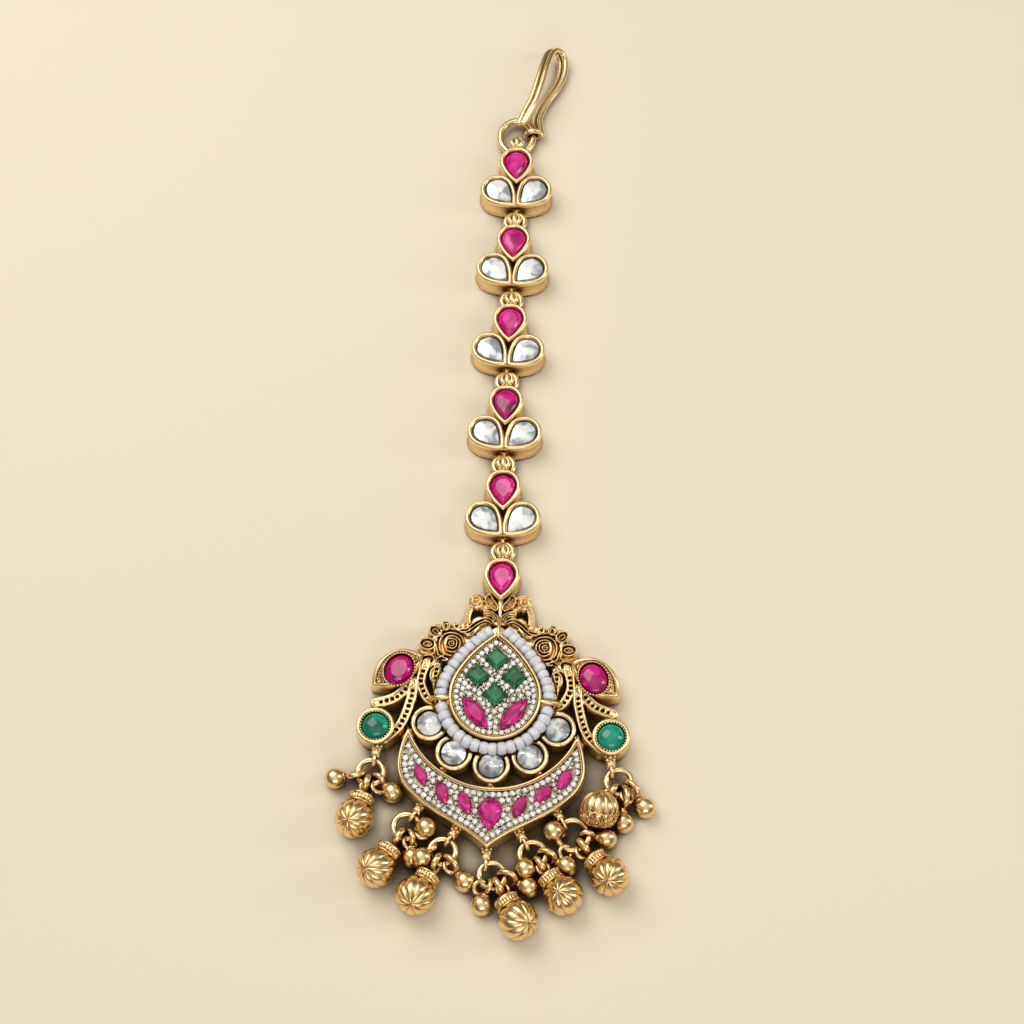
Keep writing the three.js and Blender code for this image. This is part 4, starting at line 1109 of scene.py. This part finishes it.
def relief_mesh(mesh, heights, side):
    """A skin over the raised cells of one half, down to the back at their edge, and its flat back."""
    rows, cols = heights.shape
    raised = heights > 0
    near = np.any([shifted for shifted, _, _ in around(raised)], 0).ravel()
    index = np.cumsum(near) - 1
    top = at_height(spots[near] * (side, 1), np.maximum(heights.ravel()[near], 0.0))
    i, j = np.mgrid[0:rows - 1, 0:cols - 1]
    a = (i * cols + j).ravel()
    quads = np.stack([a, a + 1, a + cols + 1, a + cols], 1)
    faces = index[quads[raised.ravel()[quads].any(1)]][:, ::side]
    mesh.add(top, faces.tolist())
    mesh.add(top * (1, 1, 0), faces[:, ::-1].tolist(), smooth=False)


scrolls()
bird()
arms()
clear_seats()
height_map = softened(height_map.reshape(grid_x.shape))
relief = Mesh()
for side in (LEFT, RIGHT):
    relief_mesh(relief, height_map, side)

# Eyes for the fringe: x, y, and the way they point in degrees
lugs = [(-17.6, -9.2, 262), (-10.5, -17.9, 238), (-5.0, -21.4, 240), (0.0, -24.6, 270), (5.0, -21.4, 300),
        (10.5, -17.9, 302), (18.1, -9.2, 278)]
lug_eyes = []
for x, y, degrees in lugs:
    way = heading(math.radians(degrees))
    lug_bud(cast, arr(x, y), way)
    eye = arr(x, y, 2.0) + arr(*way, 0) * 1.45
    upright_eye(cast, eye, (*square_to(way), 0))
    lug_eyes.append(eye)
upright_eye(cast, (0, TOP_Y + UPPER_EYE, EYE_RISE))
bud_ornament(cast, 0, TOP_Y + UPPER_EYE + 0.6)
tube(cast, [(0, TOP_Y - 4.0, 1.3), (0, 12.0, 1.2)], 0.6, 12)
tube(cast, [(0, TOP_Y - 3.9, 2.6), (0, 13.2, 2.4)], [0.5, 0.25], 12)
make("pendant_metal", cast, frame_materials, ["pendant_frame"])
make("pendant_relief", relief, [relief_gold], [])


# Stones of the pendant

EMERALD_AT = [(0, 6.05), (-2.8, 3.15), (2.8, 3.15), (0, 0.15)]
MARQUISE_AT, MARQUISE_LEAN = arr(2.95, -2.85), 0.9


def marquise_on(side, length, width, count):
    """Outline of the long stone beside the lowest emerald, on one side."""
    lean = MARQUISE_LEAN if side > 0 else math.pi - MARQUISE_LEAN
    return turned(marquise(length, width, count), lean, MARQUISE_AT * (side, 1))


def cushion(reach):
    """A square on its corner, its sides drawn in a little and its corners nipped."""
    quarter = np.array([(0.0, 1.0), (0.1, 0.88), (0.3, 0.66), (0.47, 0.47), (0.66, 0.3), (0.88, 0.1)])
    return np.concatenate([turned(quarter, -k * math.pi / 2, (0, 0)) for k in range(4)])[::-1] * reach


def brilliant(mesh, x, y, radius, z, turn, tint):
    """A small round stone: a girdle of eight walls, two rows of facets and a table."""
    rings = ((1, 0, -0.35), (1, 0, 0), (0.86, TAU / 16, 0.16), (0.55, 0, 0.26))
    verts = np.concatenate([at_height(turned(oval(radius * share, radius * share, 8), turn + step, (x, y)),
                                      z + lift) for share, step, lift in rings])
    # The girdle walls get a low tint as painted shade, and the facets random tints as painted reflections.
    for j in range(8):
        k = (j + 1) % 8
        mesh.polygon(verts[[j, k, 8 + k, 8 + j]], tint=0.1)
        for facet in ([8 + j, 8 + k, 16 + j], [16 + j, 8 + k, 16 + k], [16 + j, 16 + k, 24 + k],
                      [16 + j, 24 + k, 24 + j]):
            mesh.polygon(verts[facet], tint=tint + dice.uniform(-0.35, 0.35))
    mesh.polygon(verts[24:], tint=tint + 0.1)


def pave_field(stones, studs, rim, shapes, z, size, tries, seed):
    """Two rows of small stones along the rim, then loose ones, with grains between, clear of the shapes."""
    rng = random.Random(seed)
    edge = rim(-0.62)
    spots, radii = [], []
    for row in range(2):
        line = rim(-0.66 - size - row * 1.94 * size)
        number = int(lengths_along(looped(line))[-1] / (2 * size * 1.02))
        for spot in resample(np.roll(line, row * 3, 0), number):
            spots.append(spot)
            radii.append(size * rng.uniform(0.95, 1.04))
    low, high = edge.min(0), edge.max(0)
    for attempt in range(tries):
        spots.append((rng.uniform(low[0], high[0]), rng.uniform(low[1], high[1])))
        radii.append(size * (rng.uniform(0.85, 1.05) if attempt < tries * 0.45 else rng.uniform(0.42, 0.75)))

    def free(points, margin):
        ok = inside(points, edge) & (distance_to(points, edge, True) > margin * 0.85)
        for shape in shapes:
            ok &= ~inside(points, shape) & (distance_to(points, shape, True) > margin * 0.82)
        return ok

    spots, radii = np.array(spots), np.array(radii)
    fit = free(spots, radii)
    taken = np.zeros((0, 3))
    for spot, r in zip(spots[fit], radii[fit]):
        if (gap_to(taken[:, :2], spot) > (r + taken[:, 2]) * 0.95).all():
            taken = np.vstack([taken, (*spot, r)])
    for x, y, r in taken:
        brilliant(stones, x, y, r, z + rng.uniform(-0.04, 0.05), rng.uniform(0, 1),
                  0.55 + rng.uniform(-0.2, 0.3))
    guesses = np.array([arr(x, y) + (r + 0.06) * heading(rng.uniform(0, TAU))
                        for x, y, r in taken for _ in range(6)])
    grains = np.zeros((0, 2))
    for spot in guesses[free(guesses, 0.05)]:
        if (gap_to(taken[:, :2], spot) > taken[:, 2] * 0.97).all() and (gap_to(grains, spot) > 0.26).all():
            grains = np.vstack([grains, spot])
            grain(studs, (*spot, z + 0.12), 0.13)


stones = Mesh()
cut_gem(stones, resample(pear(2.75, 4.3, 0.38, -0.8), 16) + (0, TOP_Y), 3.55, 4.2)
make("top_stone", stones, [ruby], ["top_ruby"])
for k, spot in enumerate(pearl_at):
    stones = Mesh()
    rough_cut(stones, turned(oval(2.02, 2.02, 28), 0.3 * k, spot), 1.5, 2.3, 3.68, 0, 8, 20 + k)
    make(f"silver_pearl_{k + 1}", stones, [pearl], [f"pearl_{k + 1}"])
for side, word in ((LEFT, "left"), (RIGHT, "right")):
    stones = Mesh()
    dome(stones, turned(oval(2.12, 2.12, 36), 0, GREEN_AT * (side, 1)), 2.6, 3.2, 4.55, rows=10)
    make(f"green_stone_{word}", stones, [teal], [f"green_cabochon_{word}"])
    # The left leaf's ruby is faceted and the right one's is domed
    stones = Mesh()
    edge = turned(oval(2.05, 2.5, 20 if side < 0 else 40), side * LEAF_LEAN, LEAF_AT * (side, 1))
    if side < 0:
        cut_gem(stones, edge, 3.5, 4.45, share=0.58)
    else:
        dome(stones, edge, 2.8, 3.4, 4.5, rows=10, power=0.9)
    make(f"side_stone_{word}", stones, [ruby], [f"side_ruby_{word}"])
    stones = Mesh()
    cut_gem(stones, marquise_on(side, 6.3, 2.5, 16), 4.1, 4.72)
    make(f"marquise_stone_{word}", stones, [ruby], [f"marquise_{word}"])
for k, spot in enumerate(EMERALD_AT):
    stones = Mesh()
    cut_gem(stones, cushion(1.98) + spot, 4.15, 4.72, share=0.62)
    make(f"emerald_stone_{k + 1}", stones, [emerald], [f"emerald_{k + 1}"])

field, studs = Mesh(), Mesh()
shapes = [cushion(2.0) + spot for spot in EMERALD_AT]
shapes += [marquise_on(side, 6.4, 2.6, 20) for side in (LEFT, RIGHT)]
pave_field(field, studs, boss, shapes, 4.0, 0.45, 9000, 3)
field.merge(studs, mat=1)
make("teardrop_stones", field, [crystal, stud_metal], ["teardrop_pave"])

# The crescent's long rubies: x, y, length, width and lean. The last stone is a pear
crescent_rubies = [(-10.6, -13.1, 3.7, 1.75, -1.13), (-7.2, -15.7, 4.0, 1.9, -1.2),
                   (-3.6, -17.2, 4.0, 1.9, -1.2), (4.6, -17.4, 3.9, 1.9, 1.08),
                   (8.1, -15.2, 3.8, 1.9, 0.8), (11.2, -12.8, 3.8, 1.75, 1.05)]
shapes = [turned(marquise(length, width, 14), lean, (x, y)) for x, y, length, width, lean in crescent_rubies]
shapes.append(pear(1.85, 3.4, 0.3, 0, 18) + (0.2, -18.0))
field, studs, red = Mesh(), Mesh(), Mesh()
pave_field(field, studs, crescent_in, shapes, 3.85, 0.48, 11000, 4)
for shape in shapes:
    middle = middle_of(shape)
    cut_gem(red, middle + (shape - middle) * 0.97, 3.95, 4.5)
field.merge(studs, mat=1)
field.merge(red, mat=2)
make("crescent_stones", field, [crystal, stud_metal, ruby], ["crescent_pave"])

# Seed beads on their string, parted by the two bars and open at the tip
string_line = boss(BEAD_OUT, 400)
string_line = np.roll(string_line, -int(np.argmax(string_line[:, 1])), 0)
above = string_line[:, 1] > BAR_Y
string_loop = looped(string_line)
reach = lengths_along(string_loop)
first_bar, second_bar = reach[1:-1][above[1:] != above[:-1]]
BAR_ROOM, TIP_ROOM = 0.55, 1.25


def on_string(at):
    return np.interp(at, reach, string_loop[:, 0]), np.interp(at, reach, string_loop[:, 1])


beads = Mesh()
for low, high, number in ((TIP_ROOM, first_bar - BAR_ROOM, 11),
                          (first_bar + BAR_ROOM, second_bar - BAR_ROOM, 17),
                          (second_bar + BAR_ROOM, reach[-1] - TIP_ROOM, 11)):
    pitch = (high - low) / number
    for k in range(number):
        at = low + pitch * (k + 0.5)
        x, y = on_string(at)
        x2, y2 = on_string(at + 0.1)
        axis = unit([step + dice.uniform(-0.012, 0.012) for step in (x2 - x, y2 - y, 0)])
        half, wide = pitch * dice.uniform(0.495, 0.52), dice.uniform(0.94, 1.05)
        turn = turn_to(axis)
        rings = []
        for t in full_turn(14):
            c, s = math.cos(t), math.sin(t)
            r = (wide + 0.25) / 2 + (wide - 0.25) / 2 * math.copysign(abs(c) ** 0.85, c)
            h = half * math.copysign(abs(s) ** 0.95, s)
            rings.append(ring_points(r, h, 18) @ turn.T + arr(x, y, 3.21 + dice.uniform(-0.05, 0.05)))
        loft(beads, rings[::-1], closed=True, tint=0.3 + 0.4 * dice.random())
make("seed_beads", beads, [seed_bead], ["seed_bead_string"])


# Fringe

# For each eye: where its bell lies, the bell's upper pole, how far its ring swings in degrees, and for its
# two balls the place and the degrees at which the loop is caught on the ring
fringe = [
    ((-20.2, -20.2), (-0.26, -0.38, 0.89), 0, [((-23.7, -13.6), 190), ((-14.8, -15.4), 320)]),
    ((-16.4, -27.7), (-0.48, -0.25, 0.84), 0, [((-9.3, -20.9), 345), ((-11.1, -25.4), 290)]),
    ((-10.2, -31.6), (-0.15, -0.65, 0.75), 0, [((-9.6, -25.7), 176), ((-3.0, -28.7), 300)]),
    ((5.25, -34.6), (0.56, -0.32, 0.77), 0, [((-0.3, -32.2), 254), ((6.5, -29.1), 354)]),
    ((11.8, -30.5), (-0.3, -0.04, 0.95), 0, [((5.9, -26.5), 240), ((12.1, -25.6), 357)]),
    ((18.6, -27.2), (-0.16, -0.47, 0.87), 0, [((9.9, -20.5), 173), ((17.9, -21.0), 0)]),
    ((16.65, -17.1), (0.1, 0.9, 0.45), 52, [((20.4, -18.4), 288), ((23.6, -15.9), 330)]),
]
# Where the two small spare rings lie on each large ring, in degrees
spare_rings = [(-60, -100), (-20, -75), (-60, -120), (-50, -130), (-50, -110), (-60, -110), (-60, -120)]
BELL_RADIUS, BALL_RADIUS, DROP_WIRE, LOOP_REACH, LOOP_SINK = 3.05, 1.62, 0.4, 2.2, 0.2
PLAIN_BELL = 7
COLLAR_REACH, PLAIN_REACH, BELL_REST = 4.7, BELL_RADIUS + 0.2, 3.02


def melon(mesh, centre, star, radius, lobes):
    """A body of broad rounded lobes that run from pole to pole."""
    turn, cols = turn_to(star), lobes * 12
    groove = 1 - np.abs(np.sin(lobes * full_turn(cols) / 2)) ** 0.4
    rings = []
    for lat in np.linspace(math.radians(-86), math.radians(88), 26):
        level = math.cos(lat)
        r = radius * (1 - 0.1 * groove * min(1, 2.6 * level + 0.2))
        rings.append(ring_points(r * level ** 0.94, r * 0.97 * math.sin(lat), cols) @ turn.T + centre)
    loft(mesh, rings, cap_start=True, cap_end=True)


def collar(mesh, start, end):
    """A low fluted drum between two rolled edges, with a round shoulder up to the neck."""
    turn, cols = turn_to(end - start), 120
    cut = 1 - np.abs(np.cos(10 * full_turn(cols))) ** 0.7
    # Height, radius, and the share of the flutes' depth
    profile = [(-0.1, 1.7, 0), (0.02, 1.98, 0), (0.14, 2.05, 0), (0.28, 2.0, 0), (0.36, 1.84, 0.3),
               (0.44, 1.82, 1), (1.1, 1.84, 1), (1.2, 1.86, 0.3), (1.28, 1.96, 0), (1.42, 2.0, 0),
               (1.56, 1.92, 0), (1.66, 1.7, 0), (1.8, 1.35, 0), (1.98, 0.95, 0), (2.15, 0.7, 0),
               (np.linalg.norm(end - start), 0.5, 0)]
    rings = [ring_points(r - 0.2 * share * cut, h, cols) @ turn.T + start for h, r, share in profile]
    loft(mesh, rings, cap_end=True)


def lower_ornament(mesh, centre, star):
    """The jagged seam and petal drops on the lower half of a bell."""
    turn = turn_to(star)

    def at(angle, lat, lift):
        return centre + turn @ (heading(angle, math.tan(lat)) * math.cos(lat)) * (BELL_RADIUS * 0.97 + lift)

    seam = [at(a, math.radians(-0.5 if k % 2 else -7.5), 0.06) for k, a in enumerate(full_turn(44))]
    tube(mesh, seam, 0.17, 8, True)
    for mid in full_turn(11):
        drop = [at(mid + 0.19 * math.sin(t) * (1 - 0.4 * math.cos(t)),
                   math.radians(-34 + 15 * math.cos(t)), 0.05) for t in full_turn(12)]
        tube(mesh, drop, 0.14, 8, True)
        grain(mesh, at(mid, math.radians(-36), 0.0), 0.26)
        tube(mesh, [at(mid + 0.285, math.radians(a), 0.02) for a in (-12, -28, -46, -60)],
             [0.12, 0.17, 0.15, 0.08], 8)


def ring_between(eye, spot, neck, swing):
    """Middle and radius of the large ring that hangs in an eye and reaches for its bell."""
    to_bell = arr(*spot) - eye[:2]
    radius = max(1.95, (math.hypot(*to_bell) - neck - 1.5) / 2)
    return eye + heading(math.atan2(to_bell[1], to_bell[0]) + math.radians(swing), 0) * radius, radius


def hung(spot, low, body_radius, reach, holder, angle):
    """Place of a hung body, the way to its ring, its neck's end, and where and how its loop holds the ring."""
    centre, radius = holder
    place = arr(*spot, low + body_radius)
    out = heading(angle, 0)
    caught = centre + out * radius
    way = unit(caught - place)
    neck = place + way * max(reach, np.linalg.norm(caught - place) - LOOP_REACH)
    return place, way, neck, caught, square_to(out)


def loop_round(mesh, neck, caught, tangent, wire_radius, lean):
    """The wire loop at the end of a neck, round the ring that holds it."""
    way = unit(caught - neck)
    radius = (np.linalg.norm(caught - neck) + DROP_WIRE + 0.25 + LOOP_SINK) / 2
    normal = unit(tangent - way * np.dot(tangent, way))
    normal = np.array(Matrix.Rotation(lean, 3, Vector(way)) @ Vector(normal))
    torus(mesh, neck + way * (radius + wire_radius - LOOP_SINK), radius, wire_radius, normal, 28, 12)


for number, (spot, star, swing, balls) in enumerate(fringe, 1):
    plain = number == PLAIN_BELL
    neck_reach = PLAIN_REACH if plain else COLLAR_REACH
    holder = ring_between(lug_eyes[number - 1], spot, neck_reach, swing)
    middle, ring_radius = holder
    rings = Mesh()
    torus(rings, middle, ring_radius, 0.48, steps=48, sides=14)
    for degrees in spare_rings[number - 1]:
        out = heading(math.radians(degrees), 0)
        axis = unit(square_to(out) * 0.5 + arr(0, 0, 0.86))
        torus(rings, middle + out * (ring_radius + 0.62), 1.0, 0.34, axis, 28, 10)
    make(f"fringe_ring_{number}", rings, [wire_gold], [f"drop_ring_{number}"])
    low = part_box(f"bell_{number}")[0].z / MM
    angle = math.atan2(spot[1] - middle[1], spot[0] - middle[0])
    place, way, neck, caught, tangent = hung(spot, low, BELL_REST, neck_reach, holder, angle)
    bell = Mesh()
    melon(bell, place, star, BELL_RADIUS * 0.985, 9 if number % 2 else 10)
    if plain:
        tube(bell, [place + way * 2.6, neck], [0.9, 0.45], 12)
        lower_ornament(bell, place, star)
    else:
        collar(bell, place + way * 2.35, neck)
    loop_round(bell, neck, caught, tangent, 0.52, 0)
    make(f"melon_bell_{number}", bell, [bell_gold], [f"bell_{number}"])
    for letter, (at, degrees) in zip("ab", balls):
        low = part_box(f"ball_{number}_{letter}")[0].z / MM
        angle = math.radians(degrees)
        place, way, neck, caught, tangent = hung(at, low, BALL_RADIUS, BALL_RADIUS + 0.15, holder, angle)
        drop = Mesh()
        sphere(drop, place, BALL_RADIUS, 32, 20, axis=way)
        tube(drop, [place + way * 1.3, neck], [0.7, 0.45], 14)
        torus(drop, place + way * 1.5, 0.62, 0.17, way, 20, 8)
        loop_round(drop, neck, caught, tangent, 0.44, 0.4)
        make(f"small_ball_{number}_{letter}", drop, [bell_gold], [f"ball_{number}_{letter}"])
